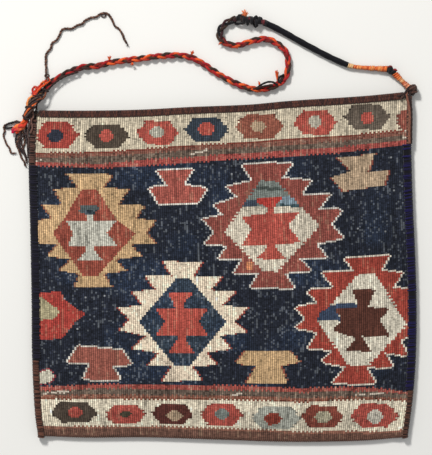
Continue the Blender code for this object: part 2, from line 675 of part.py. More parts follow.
def seam_ring(side, y):
    """Section of the overcasting at chart y: a rounded bead outside the cloth edges, two lips inside."""
    sign = 1 if side is left_x else -1
    fold_start = cloth_edges(1.0)[0 if side is left_x else 1][1]
    x = side(min(y, fold_start))
    edge_x = x + sign * chart(SEAM_BEAD)
    bottom = lift(edge_x, y)
    stack = 2 * CLOTH_THICKNESS + SIDE_GAP
    low, high = bottom - CLEARANCE, bottom + stack + CLEARANCE
    top, base = high + SEAM_WALL, low - SEAM_WALL
    middle = (top + base) / 2
    half = (top - base) / 2
    slot = SEAM_BEAD - CLEARANCE
    end = SEAM_BEAD + SEAM_LIP
    section = [(end, base), (end, low), (slot, low), (slot, high), (end, high)]
    section += [(end - SEAM_LIP_CHAMFER[0], top - SEAM_LIP_CHAMFER[1]), (SEAM_BEAD, top)]
    for k in range(1, 6):
        angle = math.pi * (0.5 - k / 6)
        section.append((SEAM_BEAD * (1 - math.cos(angle)), middle + half * math.sin(angle)))
    section.append((SEAM_BEAD, base))
    return [lay(x + sign * chart(across), y, z) for across, z in section]


def make_side_seam(name, side, top, bottom, colour):
    gap = chart(CLEARANCE) / 2
    share = max(3, round(SEAM_RINGS * (bottom - top) / CHART_HEIGHT))
    rings = []
    for k in range(share + 1):
        rings.append(seam_ring(side, top + gap + (bottom - top - 2 * gap) * k / share))
    return sweep(name, rings, colour)


def binding_ring(x, front):
    """Section of a mouth binding at chart x: a bead along the cloth edge with a lip over its outer face."""
    y = mouth_y(x)
    edge_y = y + chart(BINDING_BEAD)
    if front:
        inner = front_height(x, edge_y) - CLOTH_THICKNESS
        face = front_height(x, edge_y) + CLEARANCE
        sign = 1
    else:
        inner = lift(x, edge_y) + CLOTH_THICKNESS
        face = lift(x, edge_y) - CLEARANCE
        sign = -1
    skin = face + sign * SEAM_WALL
    middle = (inner + skin) / 2
    half = abs(skin - inner) / 2
    bead = BINDING_BEAD - CLEARANCE
    end = BINDING_BEAD + BINDING_LIP
    far, near, drop = BINDING_LIP_ROUNDING
    section = [(bead, inner), (bead, face), (end, face)]
    section += [(end - near, skin - sign * drop), (end - far, skin), (BINDING_BEAD, skin)]
    for k in range(1, 6):
        angle = math.pi * (0.5 - k / 6)
        section.append((BINDING_BEAD * (1 - math.cos(angle)), middle + sign * half * math.sin(angle)))
    return [lay(x, y + chart(down), z) for down, z in section]


def make_mouth_binding(name, front):
    """One panel's binding, with a ring at each column of the cloth between the two side seams."""
    columns = [panel_point(share, 0.0)[0] for share in column_shares()[1:-1]]
    columns[0] += chart(CLEARANCE)
    columns[-1] -= chart(CLEARANCE)
    return sweep(name, [binding_ring(x, front) for x in columns], BROWN)


def smooth_path(route, spacing):
    """Points a few diameters apart on the Catmull-Rom curve through a cord's route points."""
    points = [lay(*p) for p in route]
    ends = [points[0] * 2 - points[1], *points, points[-1] * 2 - points[-2]]
    fine = []
    for a, b, c, d in zip(ends, ends[1:], ends[2:], ends[3:]):
        for k in range(16):
            t = k / 16
            bend = 2 * a - 5 * b + 4 * c - d
            twist = 3 * b - a - 3 * c + d
            fine.append(0.5 * (2 * b + (c - a) * t + bend * t**2 + twist * t**3))
    fine.append(points[-1])
    lengths = [0.0]
    for a, b in zip(fine, fine[1:]):
        lengths.append(lengths[-1] + (b - a).length)
    count = max(3, round(lengths[-1] / spacing))
    chosen, at = [], 0
    for k in range(count + 1):
        want = lengths[-1] * k / count
        while at < len(lengths) - 2 and lengths[at + 1] < want:
            at += 1
        share = (want - lengths[at]) / max(lengths[at + 1] - lengths[at], 1e-9)
        chosen.append(fine[at].lerp(fine[at + 1], min(share, 1.0)))
    return chosen


def make_cord(name, route, diameter, colour, spacing=None, swell=None):
    """A cord's tube: a poly curve with a round bevel and closed ends."""
    points = smooth_path(route, spacing or diameter * CORD_STEP_DIAMETERS)
    curve = bpy.data.curves.new(name, "CURVE")
    curve.dimensions = "3D"
    curve.bevel_depth = diameter / 2
    curve.bevel_resolution = 2
    curve.use_fill_caps = True
    spline = curve.splines.new("POLY")
    spline.points.add(len(points) - 1)
    for k, (slot, place) in enumerate(zip(spline.points, points)):
        slot.co = (*place, 1.0)
        slot.radius = swell(k / (len(points) - 1)) if swell else 1.0
    curve.materials.append(material(name + "_wool", colour))
    obj = bpy.data.objects.new(name, curve)
    bpy.context.collection.objects.link(obj)
    return obj


def make_corner_knot():
    """The brown lump of wool that the strap is sewn into, beside the seam at the bag's right top corner."""
    y = RIGHT_SEAM_BREAKS[0] - chart(CORNER_KNOT_RADIUS) - chart(CLEARANCE)
    x = right_x(y) + chart(CLEARANCE)
    height = CORNER_KNOT_RADIUS
    bm = bmesh.new()
    bmesh.ops.create_uvsphere(bm, u_segments=16, v_segments=10, radius=CORNER_KNOT_RADIUS)
    mesh = bpy.data.meshes.new("right_corner_knot")
    bm.to_mesh(mesh)
    bm.free()
    mesh.materials.append(material("right_corner_knot_wool", BROWN))
    obj = bpy.data.objects.new("right_corner_knot", mesh)
    obj.location = lay(x, y, height)
    bpy.context.collection.objects.link(obj)
    return obj


def knot_swell(share):
    """Radius of the strap knot along its length: three lumps."""
    return 0.82 - 0.18 * math.cos(share * 6 * math.pi)


def wrap_swell(share):
    return 0.85 + 0.15 * math.sin(math.pi * share)


def tie_swell(share):
    return 0.72 + 0.42 * math.sin(math.pi * min(share * 1.15, 1.0))


def main():
    clear_scene()
    make_body()
    make_mouth_binding("front_mouth_binding", front=True)
    make_mouth_binding("back_mouth_binding", front=False)
    sides = (("left", left_x, LEFT_SEAM_BREAKS), ("right", right_x, RIGHT_SEAM_BREAKS))
    for side_name, side, breaks in sides:
        for part, top, bottom in zip(("top", "middle", "bottom"), breaks, breaks[1:]):
            colour = INDIGO if part == "middle" else BROWN
            make_side_seam(f"{side_name}_seam_{part}", side, top, bottom, colour)
    make_corner_knot()
    cords = (
        ("strap_braid", BRAID_ROUTE, BRAID_DIAMETER, STRAP_RED, None, None),
        ("strap_knot", STRAP_KNOT_ROUTE, STRAP_KNOT_DIAMETER, STRAP_BLACK, 0.0028, knot_swell),
        ("navy_cord", NAVY_ROUTE, NAVY_CORD_DIAMETER, STRAP_BLACK, None, None),
        ("upper_wrapped_cord", UPPER_WRAP_ROUTE, UPPER_WRAP_DIAMETER, STRAP_ORANGE, None, wrap_swell),
        ("whipping_knot", WHIPPING_ROUTE, WHIPPING_DIAMETER, STRAP_BLACK, 0.003, None),
        ("lower_wrapped_cord", LOWER_WRAP_ROUTE, LOWER_WRAP_DIAMETER, STRAP_ORANGE, 0.006, wrap_swell),
        ("left_tie", LEFT_TIE_ROUTE, LEFT_TIE_DIAMETER, TIE_BROWN, 0.006, tie_swell),
        ("left_tassel", TASSEL_ROUTE, TASSEL_DIAMETER, STRAP_ORANGE, 0.005, None),
        ("tie_cord", TIE_CORD_ROUTE, TIE_CORD_DIAMETER, TIE_BROWN, None, None),
    )
    for name, route, diameter, colour, spacing, swell in cords:
        make_cord(name, route, diameter, colour, spacing, swell)
    for name, route in TAIL_ROUTES.items():
        make_cord(name, route, STRAND_DIAMETER, TIE_BROWN)


main()
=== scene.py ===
import math
import random

import bmesh
import bpy
import numpy as np
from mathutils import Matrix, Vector


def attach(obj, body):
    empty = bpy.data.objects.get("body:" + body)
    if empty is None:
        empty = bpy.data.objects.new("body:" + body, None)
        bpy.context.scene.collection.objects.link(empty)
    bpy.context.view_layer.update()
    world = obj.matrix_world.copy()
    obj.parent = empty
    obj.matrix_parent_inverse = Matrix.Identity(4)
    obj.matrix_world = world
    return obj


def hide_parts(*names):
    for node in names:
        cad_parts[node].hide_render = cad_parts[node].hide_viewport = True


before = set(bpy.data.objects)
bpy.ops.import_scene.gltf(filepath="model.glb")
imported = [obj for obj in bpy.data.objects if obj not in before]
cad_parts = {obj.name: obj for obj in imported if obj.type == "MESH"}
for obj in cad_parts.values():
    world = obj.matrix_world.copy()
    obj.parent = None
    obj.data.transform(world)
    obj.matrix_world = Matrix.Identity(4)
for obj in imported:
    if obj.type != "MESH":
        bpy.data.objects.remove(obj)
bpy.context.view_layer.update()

# The bag lies on a plain pale floor, seen from straight above, as the photograph shows it.
# Its layout is kept on a chart: x to the right and y down, one unit to a pixel of the photograph.
# lay() turns chart points into metres in the frame of the CAD model.
CHART_WIDTH = 389.0
CHART_HEIGHT = 356.0
CHART_MIDDLE = (223.0, 263.7)
BAG_WIDTH = 0.4095
BAG_HEIGHT = 0.3745
PICTURE = (432, 455)
UNIT_X = BAG_WIDTH / CHART_WIDTH
UNIT_Y = BAG_HEIGHT / CHART_HEIGHT


def lay(x, y, z=0.0):
    """The place in metres of a chart point, at a height in metres."""
    return Vector(((x - CHART_MIDDLE[0]) * UNIT_X, (CHART_MIDDLE[1] - y) * UNIT_Y, z))


def dye(code):
    """A colour as seen, written as six hex digits, in Blender's linear values."""
    channels = (int(code[i : i + 2], 16) / 255 for i in (0, 2, 4))
    return tuple(c / 12.92 if c < 0.04045 else ((c + 0.055) / 1.055) ** 2.4 for c in channels)


def placed(name, data):
    """A new object in the scene that holds the camera, lamp, mesh or curve."""
    made = bpy.data.objects.new(name, data)
    bpy.context.scene.collection.objects.link(made)
    return made


CAMERA_HEIGHT = 2.2
FRONT_LEVEL = 0.011
SENSOR = 36.0
camera_data = bpy.data.cameras.new("camera")
camera_data.sensor_fit = "HORIZONTAL"
camera_data.sensor_width = SENSOR
camera_data.lens = SENSOR * (CAMERA_HEIGHT - FRONT_LEVEL) / (PICTURE[0] * UNIT_X)
camera_data.clip_end = 20.0
camera = placed("camera", camera_data)
camera.location = lay(PICTURE[0] / 2, PICTURE[1] / 2, CAMERA_HEIGHT)
bpy.context.scene.camera = camera
bpy.context.scene.view_settings.view_transform = "Standard"

# Soft daylight from the upper left and a plain grey sky fill, so that a colour renders about as written.
KEY_PLACE = (-0.93, 1.725, 1.95)
KEY_SIZE = 0.51
KEY_POWER = 61.9
KEY_COLOUR = (1.0, 0.985, 0.96)
SKY_LEVEL = 0.44
SKY_COLOUR = (0.97, 0.985, 1.0)
key_data = bpy.data.lights.new("key", "AREA")
key_data.shape = "DISK"
key_data.size = KEY_SIZE
key_data.energy = KEY_POWER
key_data.color = KEY_COLOUR
key = placed("key", key_data)
key.location = KEY_PLACE
key.rotation_euler = (-Vector(KEY_PLACE)).to_track_quat("-Z", "Y").to_euler()
world = bpy.data.worlds.new("sky")
bpy.context.scene.world = world
world.use_nodes = True
sky = world.node_tree.nodes["Background"].inputs
sky["Color"].default_value = (*SKY_COLOUR, 1.0)
sky["Strength"].default_value = SKY_LEVEL

# The floor: a plain pale matt sheet just under the cloth, large enough for every view.
FLOOR_HALF = 6.0
FLOOR_DROP = 0.0002
FLOOR_COLOUR = dye("f1f0ec")


def new_material(name, levels):
    """A new material and its shader, with the shader's inputs set to the levels."""
    made = bpy.data.materials.new(name)
    made.use_nodes = True
    shader = made.node_tree.nodes["Principled BSDF"]
    for socket, level in levels.items():
        shader.inputs[socket].default_value = level
    return made, shader


floor_mesh = bpy.data.meshes.new("floor")
corners = [(x * FLOOR_HALF, y * FLOOR_HALF, -FLOOR_DROP) for x, y in ((-1, -1), (1, -1), (1, 1), (-1, 1))]
floor_mesh.from_pydata(corners, [], [(0, 1, 2, 3)])
floor_paint, _ = new_material(
    "pale_floor", {"Base Color": (*FLOOR_COLOUR, 1.0), "Roughness": 1.0, "Specular IOR Level": 0.1},
)
floor_mesh.materials.append(floor_paint)
floor = placed("floor", floor_mesh)

# The strap's main stretch: a plait of three thick wool strands, red, orange and dark brown, each of
# them plied from finer yarn. It starts at the bag's left corner, wanders over the floor in an S and
# goes slack and dark just before it is knotted to the smooth cord.
PLAIT_PITCH = 0.027
PLAIT_SWING = 0.0019
PLAIT_RISE = 0.0013
STRAND_RADIUS = 0.00154
BRAID_ROUTE = (
    (45.0, 88.5, 0.0052), (51, 82, 0.0042), (60, 76, 0.0041), (72, 70, 0.0040), (84, 66.3, 0.0040),
    (97, 65.2, 0.0040), (110, 61.8, 0.0040), (127, 59.5, 0.0040), (144, 57.5, 0.0040), (160, 55.4, 0.0040),
    (176, 54.5, 0.0040), (190, 56.6, 0.0040), (203, 63, 0.0040), (217, 72.5, 0.0040), (232, 81, 0.0040),
    (248, 87.3, 0.0040), (262, 88.8, 0.0040), (276, 84.8, 0.0040), (285, 77.5, 0.0040), (288.4, 66, 0.0041),
    (286.8, 53, 0.0042), (279, 44, 0.0044), (266, 38.2, 0.0044), (252, 40.5, 0.0044), (238, 44.5, 0.0042),
    (226, 42.5, 0.0042), (219.8, 35, 0.0042), (221.5, 27, 0.0042), (229, 20.6, 0.0042), (236, 18.2, 0.0042),
)


def smooth_path(route, spacing):
    """Even points on the Catmull-Rom curve through a cord's route points, in metres."""
    points = [lay(*p) for p in route]
    ends = [points[0] * 2 - points[1], *points, points[-1] * 2 - points[-2]]
    fine = []
    for a, b, c, d in zip(ends, ends[1:], ends[2:], ends[3:]):
        for k in range(16):
            t = k / 16
            fine.append(0.5 * (
                2 * b + (c - a) * t + (2 * a - 5 * b + 4 * c - d) * t**2 + (3 * b - a - 3 * c + d) * t**3
            ))
    fine.append(points[-1])
    lengths = [0.0]
    for a, b in zip(fine, fine[1:]):
        lengths.append(lengths[-1] + (b - a).length)
    count = max(3, round(lengths[-1] / spacing))
    chosen, at = [], 0
    for k in range(count + 1):
        want = lengths[-1] * k / count
        while at < len(lengths) - 2 and lengths[at + 1] < want:
            at += 1
        share = (want - lengths[at]) / max(lengths[at + 1] - lengths[at], 1e-9)
        chosen.append(fine[at].lerp(fine[at + 1], min(share, 1.0)))
    return chosen


def frames(points):
    """(tangent, side, up) at each point, with side level and up as near +Z as the tangent lets it be."""
    found = []
    for i in range(len(points)):
        tangent = (points[min(i + 1, len(points) - 1)] - points[max(i - 1, 0)]).normalized()
        side = tangent.cross(Vector((0, 0, 1)))
        side = side.normalized() if side.length > 1e-4 else Vector((1, 0, 0))
        found.append((tangent, side, side.cross(tangent)))
    return found


class Shape:
    """Gathers vertices, faces and a colour for each vertex, and becomes one mesh object."""

    def __init__(self):
        self.verts, self.faces, self.colours = [], [], []

    def tube(self, points, radius, sides, colour, plies=0, twist=0.0, depth=0.12, phase=0.0):
        """A closed tube along the points. radius and colour may be functions of the share of its length."""
        base = len(self.verts)
        last = len(points) - 1
        run = 0.0
        turned = frames_along(points)
        for i, (p, (side, up)) in enumerate(zip(points, turned)):
            run += (p - points[i - 1]).length if i else 0.0
            share = i / last
            r = radius(share) if callable(radius) else radius
            c = colour(share) if callable(colour) else colour
            for k in range(sides):
                angle = 2 * math.pi * k / sides
                ridge = 1 + (depth * math.cos(plies * angle + twist * run + phase) if plies else 0.0)
                self.verts.append(p + (side * math.cos(angle) + up * math.sin(angle)) * r * ridge)
                # Painted shade: a plied tube's colour is darker in the grooves between its plies and lighter
                # on their crests.
                shade = 1 + 1.6 * (ridge - 1) if plies else 1.0
                self.colours.append(tuple(channel * shade for channel in c))
        for i in range(last):
            for k in range(sides):
                a, b = base + i * sides + k, base + i * sides + (k + 1) % sides
                self.faces.append((a, b, b + sides, a + sides))
        for i, flip in ((0, True), (last, False)):
            ring = [base + i * sides + k for k in range(sides)]
            centre = len(self.verts)
            self.verts.append(points[i] + (points[i] - points[1 if i == 0 else last - 1]).normalized() * 1e-4)
            self.colours.append(self.colours[ring[0]])
            for a, b in zip(ring, ring[1:] + ring[:1]):
                self.faces.append((b, a, centre) if flip else (a, b, centre))

    def object(self, name, material):
        """The gathered mesh as an object, with each vertex's colour in the attribute yarn."""
        mesh = bpy.data.meshes.new(name)
        mesh.from_pydata([tuple(v) for v in self.verts], [], self.faces)
        paint = mesh.attributes.new("yarn", "FLOAT_COLOR", "POINT")
        paint.data.foreach_set("color", [x for c in self.colours for x in (*c[:3], 1.0)])
        mesh.materials.append(material)
        mesh.shade_smooth()
        return placed(name, mesh)


def frames_along(points):
    """(side, up) at each point, carried along the path with no sudden turn."""
    side = frames(points)[0][1]
    found = []
    for i in range(len(points)):
        tangent = (points[min(i + 1, len(points) - 1)] - points[max(i - 1, 0)]).normalized()
        side = (side - tangent * side.dot(tangent)).normalized()
        found.append((side, tangent.cross(side)))
    return found


def add_node(tree, kind, inputs=None, **settings):
    """A new node with its settings. Each input is given a value or the output that feeds it."""
    node = tree.nodes.new(kind)
    for name, value in settings.items():
        setattr(node, name, value)
    for key, value in (inputs or {}).items():
        if isinstance(value, bpy.types.NodeSocket):
            tree.links.new(value, node.inputs[key])
        else:
            node.inputs[key].default_value = value
    return node


def rescaled(tree, value, spread, levels):
    """The output of a node that turns a value within the spread into one within the levels."""
    return add_node(tree, "ShaderNodeMapRange", {
        "Value": value, "From Min": spread[0], "From Max": spread[1], "To Min": levels[0],
        "To Max": levels[1],
    }).outputs["Result"]


def darkened(tree, name, colour, share):
    """The output of a node called name that multiplies the colour by the share."""
    return add_node(
        tree, "ShaderNodeVectorMath", {0: colour, "Scale": share}, name=name, operation="SCALE",
    ).outputs["Vector"]


FLECK_SCALE = 900.0
FIBRE_SCALE = 2600.0
NOISE_SPREAD = (0.3, 0.7)
BUMP_HEIGHT = 0.00022


def wool(name, roughness=0.92, fleck=0.35, sheen=0.12, side_shade=0.34):
    """Matt spun wool in the yarn's own colour from the mesh, with fibre flecks and a fibre bump.

    Its colour is painted darker, by up to a given share, where its surface faces sideways or down: painted
    shade.
    """
    made, shader = new_material(name, {
        "Roughness": roughness, "Specular IOR Level": 0.22, "Sheen Weight": sheen, "Sheen Roughness": 0.6,
    })
    tree = made.node_tree
    place = add_node(tree, "ShaderNodeTexCoord").outputs["Object"]
    yarn = add_node(tree, "ShaderNodeAttribute", attribute_name="yarn").outputs["Color"]
    noise = add_node(tree, "ShaderNodeTexNoise", {"Vector": place, "Scale": FLECK_SCALE, "Detail": 3.0})
    flecks = rescaled(tree, noise.outputs["Fac"], NOISE_SPREAD, (1 - fleck, 1 + fleck))
    flecked = darkened(tree, "flecked", yarn, flecks)
    # Painted shade: the colour is darkened where the surface faces sideways or down, and a little lighter
    # where it faces up.
    normal = add_node(tree, "ShaderNodeNewGeometry").outputs["Normal"]
    upward = add_node(tree, "ShaderNodeSeparateXYZ", {0: normal}).outputs["Z"]
    soiled = darkened(tree, "soiled", flecked, rescaled(tree, upward, (0.0, 0.85), (1 - side_shade, 1.08)))
    tree.links.new(soiled, shader.inputs["Base Color"])
    fibres = add_node(tree, "ShaderNodeTexNoise", {"Vector": place, "Scale": FIBRE_SCALE, "Detail": 2.0})
    bump = add_node(tree, "ShaderNodeBump", {
        "Height": fibres.outputs["Fac"], "Strength": 0.6, "Distance": BUMP_HEIGHT,
    })
    tree.links.new(bump.outputs["Normal"], shader.inputs["Normal"])
    return made


SPUN_WOOL = wool("spun_wool")
STRAP_RED = dye("9a141a")
STRAP_ORANGE = dye("dc5722")
STRAP_BROWN = dye("2d1a16")
STRAP_BLACK = dye("0d0c10")


def blend_colour(a, b, share):
    """The colour between two others at a share of the way, held from 0 to 1."""
    share = min(max(share, 0.0), 1.0)
    return tuple(x + (y - x) * share for x, y in zip(a, b))


def wander(seed, count, least, most):
    """A smooth random function of the share of a length, from least to most, with count knots."""
    draw = random.Random(seed)
    knots = [draw.uniform(least, most) for _ in range(count + 2)]

    def at(share):
        place = share * count
        i = min(int(place), count)
        t = place - i
        t = t * t * (3 - 2 * t)
        return knots[i] + (knots[i + 1] - knots[i]) * t

    return at


def plait(shape, points, strands, pitch, swing, rise, radius, slack=None):
    """Three strands that cross over and under each other along the points."""
    turned = frames(points)
    run = [0.0]
    for a, b in zip(points, points[1:]):
        run.append(run[-1] + (b - a).length)
    for k, colour in enumerate(strands):
        line = []
        loose = wander(40 + k, 24, -0.0003, 0.0003)
        for i, (p, (_, side, up)) in enumerate(zip(points, turned)):
            share = i / (len(points) - 1)
            wide = slack(share) if slack else 1.0
            phase = 2 * math.pi * (run[i] / pitch + k / 3)
            over = up * (rise * math.sin(2 * phase))
            line.append(p + side * (swing * wide * math.sin(phase) + loose(share)) + over)
        shape.tube(line, radius, 10, colour, plies=3, twist=900.0, depth=0.10, phase=k * 2.0)


def tuft(shape, place, direction, length, colour, hairs, seed, thickness=0.00028, spread=0.55):
    """Loose fibre ends that stick out of a cord at one place."""
    draw = random.Random(seed)
    ahead = Vector(direction).normalized()
    for _ in range(hairs):
        aim = (ahead + Vector([draw.uniform(-spread, spread) for _ in range(3)])).normalized()
        reach = length * draw.uniform(0.55, 1.0)
        bend = Vector([draw.uniform(-0.7, 0.7) * spread for _ in range(3)]) * reach
        points = []
        for i in range(5):
            t = i / 4
            p = Vector(place) + aim * reach * t + bend * t * t
            p.z = max(p.z, thickness)
            points.append(p)
        tone = draw.uniform(0.75, 1.15)
        shape.tube(points, lambda t: thickness * (1.05 - 0.7 * t), 4, tuple(c * tone for c in colour))


braid_points = smooth_path(BRAID_ROUTE, 0.0011)
braid_mix = [wander(11 + k, 64, 0.0, 1.0) for k in range(3)]


def slackness(share):
    """From 0 in the plait to 1 where its last stretch is dark, thin and loose."""
    return min(max((share - 0.885) * 22, 0.0), 1.0)


def brown_start(share):
    """From 1 by the left corner, where brown wool takes the place of the orange strand, to 0 past there."""
    return min(max((0.175 - share) * 22, 0.0), 1.0)


def red_strand(share):
    """Red wool that turns orange here and there, and dark where the plait is slack."""
    mix = blend_colour(STRAP_RED, STRAP_ORANGE, 1.4 * braid_mix[0](share) - 0.75)
    return blend_colour(mix, dye("34151a"), slackness(share))


def orange_strand(share):
    """Orange wool with red stretches, brown by the left corner and black where the plait is slack."""
    mix = blend_colour(STRAP_ORANGE, dye("a81c1a"), 3.2 * braid_mix[1](share) - 0.9)
    mix = blend_colour(mix, dye("3a211d"), brown_start(share))
    return blend_colour(mix, STRAP_BLACK, slackness(share))


def brown_strand(share):
    """Dark brown wool with dark red stretches."""
    dark = blend_colour(STRAP_BROWN, dye("3c2a1e"), braid_mix[2](share))
    return blend_colour(dark, dye("7c1417"), (1.8 * braid_mix[0](1 - share) - 0.9) * (1 - slackness(share)))


braid_shape = Shape()
plait(
    braid_shape, braid_points, (red_strand, orange_strand, brown_strand), PLAIT_PITCH, PLAIT_SWING,
    PLAIT_RISE,
    lambda share: STRAND_RADIUS * (1 - 0.08 * slackness(share)),
    slack=lambda share: 1.0 + 0.35 * slackness(share),
)
wisps_shape = Shape()
for x, y, way, length, hairs, spread in (
    (109, 59.5, (0.1, 1, 0.3), 0.0042, 16, 0.4), (191.5, 54, (0.3, 1, 0.2), 0.0044, 16, 0.4),
    (277.8, 81, (-0.10, 1, 0.10), 0.0120, 34, 0.13), (260, 85.5, (-0.2, 1, 0.3), 0.0046, 12, 0.3),
    (222, 42, (-1, -0.3, 0.2), 0.0035, 10, 0.5), (132, 62, (0.2, -1, 0.2), 0.0030, 8, 0.5),
    (236, 45.5, (0.4, -1, 0.2), 0.0034, 8, 0.5),
):
    tuft(
        wisps_shape, lay(x, y, 0.0048), way, length, STRAP_ORANGE, hairs, seed=int(x), thickness=0.00076,
        spread=spread,
    )
for points, colour in (
    (((257, 87.4, 0.006), (262, 84.0, 0.007), (268, 81.6, 0.0075), (273.5, 82.0, 0.0072), (278, 84.8, 0.006)),
     STRAP_BLACK),
    (((253, 88.9, 0.006), (259, 87.2, 0.0078), (266, 85.6, 0.0080), (273, 84.6, 0.007)), STRAP_BROWN),
    (((281, 83.0, 0.006), (278.5, 80.2, 0.0074), (279.5, 77.0, 0.0066), (284, 74.0, 0.006)), STRAP_BLACK),
):
    wisps_shape.tube(smooth_path(points, 0.001), 0.0011, 7, colour, plies=2, twist=1300.0)
braid = braid_shape.object("braided_strap", SPUN_WOOL)
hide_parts("strap_braid")
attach(braid, "root")
wisps = wisps_shape.object("strap_wisps", SPUN_WOOL)
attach(wisps, "root")

# The strap's left end is bound to the corner with a bundle of dark two-ply yarns, twisted together and
# pulled tight, with an orange and a pale yarn among them. Loose loops of the same yarn hang beside it.
LEFT_TIE_ROUTE = (
    (44.5, 89.1, 0.0054), (39, 94, 0.0070), (35.0, 99, 0.0110), (31.5, 105, 0.0143), (28.2, 112, 0.0143),
    (25.4, 119, 0.0110),
)
TIE_YARN = 0.00105
TIE_YARNS = (
    "31211e", "231618", "4a3833", "2b1c1b", "d0602a", "3a2826", "1e1416", "55423a", "2e1d1c", "d9a060",
    "271a1a",
)


def yarn_bundle(shape, points, colours, reach, turns, seed):
    """Two-ply yarns that wind side by side round the points, each wandering a little."""
    for k, colour in enumerate(colours):
        line = []
        drift = wander(seed + k, 9, -0.0007, 0.0007)
        depth = 1.0 if k % 3 else 0.45
        for i, (p, (_, side, up)) in enumerate(zip(points, frames(points))):
            share = i / (len(points) - 1)
            phase = 2 * math.pi * (share * turns + k / len(colours))
            away = reach(share) * depth + drift(share)
            line.append(p + side * away * math.sin(phase) + up * away * 0.8 * math.cos(phase))
        shape.tube(line, TIE_YARN, 8, colour, plies=2, twist=1500.0, depth=0.16, phase=k * 1.7)


tie_points = smooth_path(LEFT_TIE_ROUTE, 0.0008)
left_tie_shape = Shape()
yarn_bundle(
    left_tie_shape, tie_points, [dye(code) for code in TIE_YARNS],
    lambda t: 0.0022 + 0.0012 * math.sin(math.pi * min(t * 1.15, 1.0)), 0.9, seed=70,
)
for share, tilt, radius in (
    (0.03, 0.8, 0.0036), (0.30, -0.5, 0.0040), (0.34, 0.5, 0.0040), (0.66, 0.4, 0.0040), (0.95, -0.2, 0.0034),
):
    i = int(share * (len(tie_points) - 1))
    tangent, side, up = frames(tie_points)[i]
    ring = []
    for k in range(25):
        angle = 2 * math.pi * k / 24
        ring.append(tie_points[i] + side * radius * math.cos(angle) + up * radius * 0.9 * math.sin(angle)
                    + tangent * (tilt * radius * math.cos(angle) + 0.0010 * k / 24))
    left_tie_shape.tube(ring, TIE_YARN, 7, STRAP_BROWN, plies=2, twist=1300.0)
for route, code in (
    (((50, 80, 0.008), (45, 84, 0.010), (40, 88, 0.0105), (36.5, 92.5, 0.011), (34.0, 97, 0.013)), "d24a1e"),
    (((49, 78, 0.007), (43.5, 82, 0.008), (38.5, 86.6, 0.009), (35.0, 91.0, 0.010), (33.0, 96, 0.012)),
     "b8301c"),
    (((40, 90, 0.0105), (35, 86.6, 0.0085), (32.4, 89.0, 0.0080), (33.2, 93.0, 0.0095), (37, 94, 0.0125)),
     "a82420"),
    (((33, 96, 0.016), (29.4, 99, 0.0165), (27.6, 104, 0.0165), (28.6, 109, 0.0165)), "e08a50"),
):
    left_tie_shape.tube(smooth_path(route, 0.0009), 0.0012, 8, dye(code), plies=2, twist=1200.0, depth=0.15)
tuft(
    left_tie_shape, lay(44.5, 83.0, 0.011), (-0.6, 0.5, 0.4), 0.0040, dye("ee7a33"), 22, seed=7,
    thickness=0.00055, spread=0.5,
)
tuft(left_tie_shape, lay(37.0, 89.5, 0.009), (-0.7, 0.7, 0.2), 0.0055, STRAP_ORANGE, 18, seed=5, spread=0.35)
tuft(left_tie_shape, lay(34.0, 93.5, 0.008), (-0.9, 0.1, 0.0), 0.0045, dye("c2301f"), 10, seed=6, spread=0.3)
corner_yarns = Shape()
CORNER_ROUTES = (
    ((29, 113, 0.0125), (26.5, 122, 0.0098), (25.6, 131, 0.0050), (26.4, 140, 0.0030), (27.0, 149, 0.0022),
     (27.6, 158, 0.0020)),
    ((27, 117, 0.0100), (23.5, 125, 0.0072), (20.6, 131, 0.0036), (19.6, 137, 0.0016), (20.6, 143, 0.0014),
     (22.6, 149, 0.0014), (24.6, 157, 0.0016)),
    ((22, 127, 0.0060), (18.2, 131, 0.0026), (15.4, 136, 0.0014), (14.8, 141, 0.0014), (17.0, 146, 0.0014),
     (20.0, 150.5, 0.0014), (23.6, 154, 0.0016)),
    ((30, 112, 0.0110), (28.2, 119, 0.0110), (29.2, 126, 0.0098), (27.4, 133, 0.0086), (28.6, 140, 0.0082),
     (27.6, 148, 0.0078)),
    ((20.5, 122, 0.0064), (14, 121.6, 0.0032), (9, 122.6, 0.0020), (5.0, 124.6, 0.0016), (3.9, 127.0, 0.0014),
     (7.0, 127.6, 0.0014), (12.0, 126.6, 0.0020)),
    ((26, 133, 0.0030), (21.5, 136.5, 0.0028), (18.4, 140.5, 0.0026), (18.8, 146, 0.0026),
     (22.6, 151, 0.0026), (26, 160, 0.0024)),
    ((41, 97, 0.0110), (37.6, 101, 0.0112), (36.2, 106, 0.0110), (33.0, 110, 0.0116), (33.4, 116, 0.0110),
     (31.2, 121, 0.0108), (32.4, 127, 0.0104), (30.4, 133, 0.0102)),
    ((43, 96, 0.0104), (40.8, 100, 0.0114), (37.0, 103.6, 0.0112), (36.6, 109, 0.0112), (34.6, 113, 0.0110),
     (33.6, 118, 0.0106)),
    ((38, 101, 0.0110), (34.0, 105, 0.0112), (33.0, 110, 0.0112), (30.2, 115, 0.0110), (30.8, 122, 0.0108),
     (28.8, 129, 0.0102)),
    ((78, 71.4, 0.0056), (71, 73.6, 0.0062), (64.5, 76.2, 0.0066), (57.5, 80.4, 0.0072), (50.5, 86.4, 0.0080),
     (45.6, 92.0, 0.0100)),
    ((46, 91, 0.0095), (45.0, 95.5, 0.0102), (42.6, 98.6, 0.0110), (38.6, 99.4, 0.0124),
     (35.6, 102.4, 0.0130)),
)
CORNER_TONES = (
    "2a1b1c", "3c2a28", "241719", "4a3732", "191316", "332322", "6a4a40", "1a1010", "4a302a", "2b1c18",
    "6e3a22",
)
for k, route in enumerate(CORNER_ROUTES):
    tone = CORNER_TONES[k]
    corner_yarns.tube(
        smooth_path(route, 0.0010), 0.00100, 8, dye(tone), plies=2, twist=1500.0, depth=0.16, phase=k,
    )
left_tie = left_tie_shape.object("left_corner_tie", SPUN_WOOL)
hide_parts("left_tie")
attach(left_tie, "root")
corner_loops = corner_yarns.object("left_corner_yarns", SPUN_WOOL)
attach(corner_loops, "root")

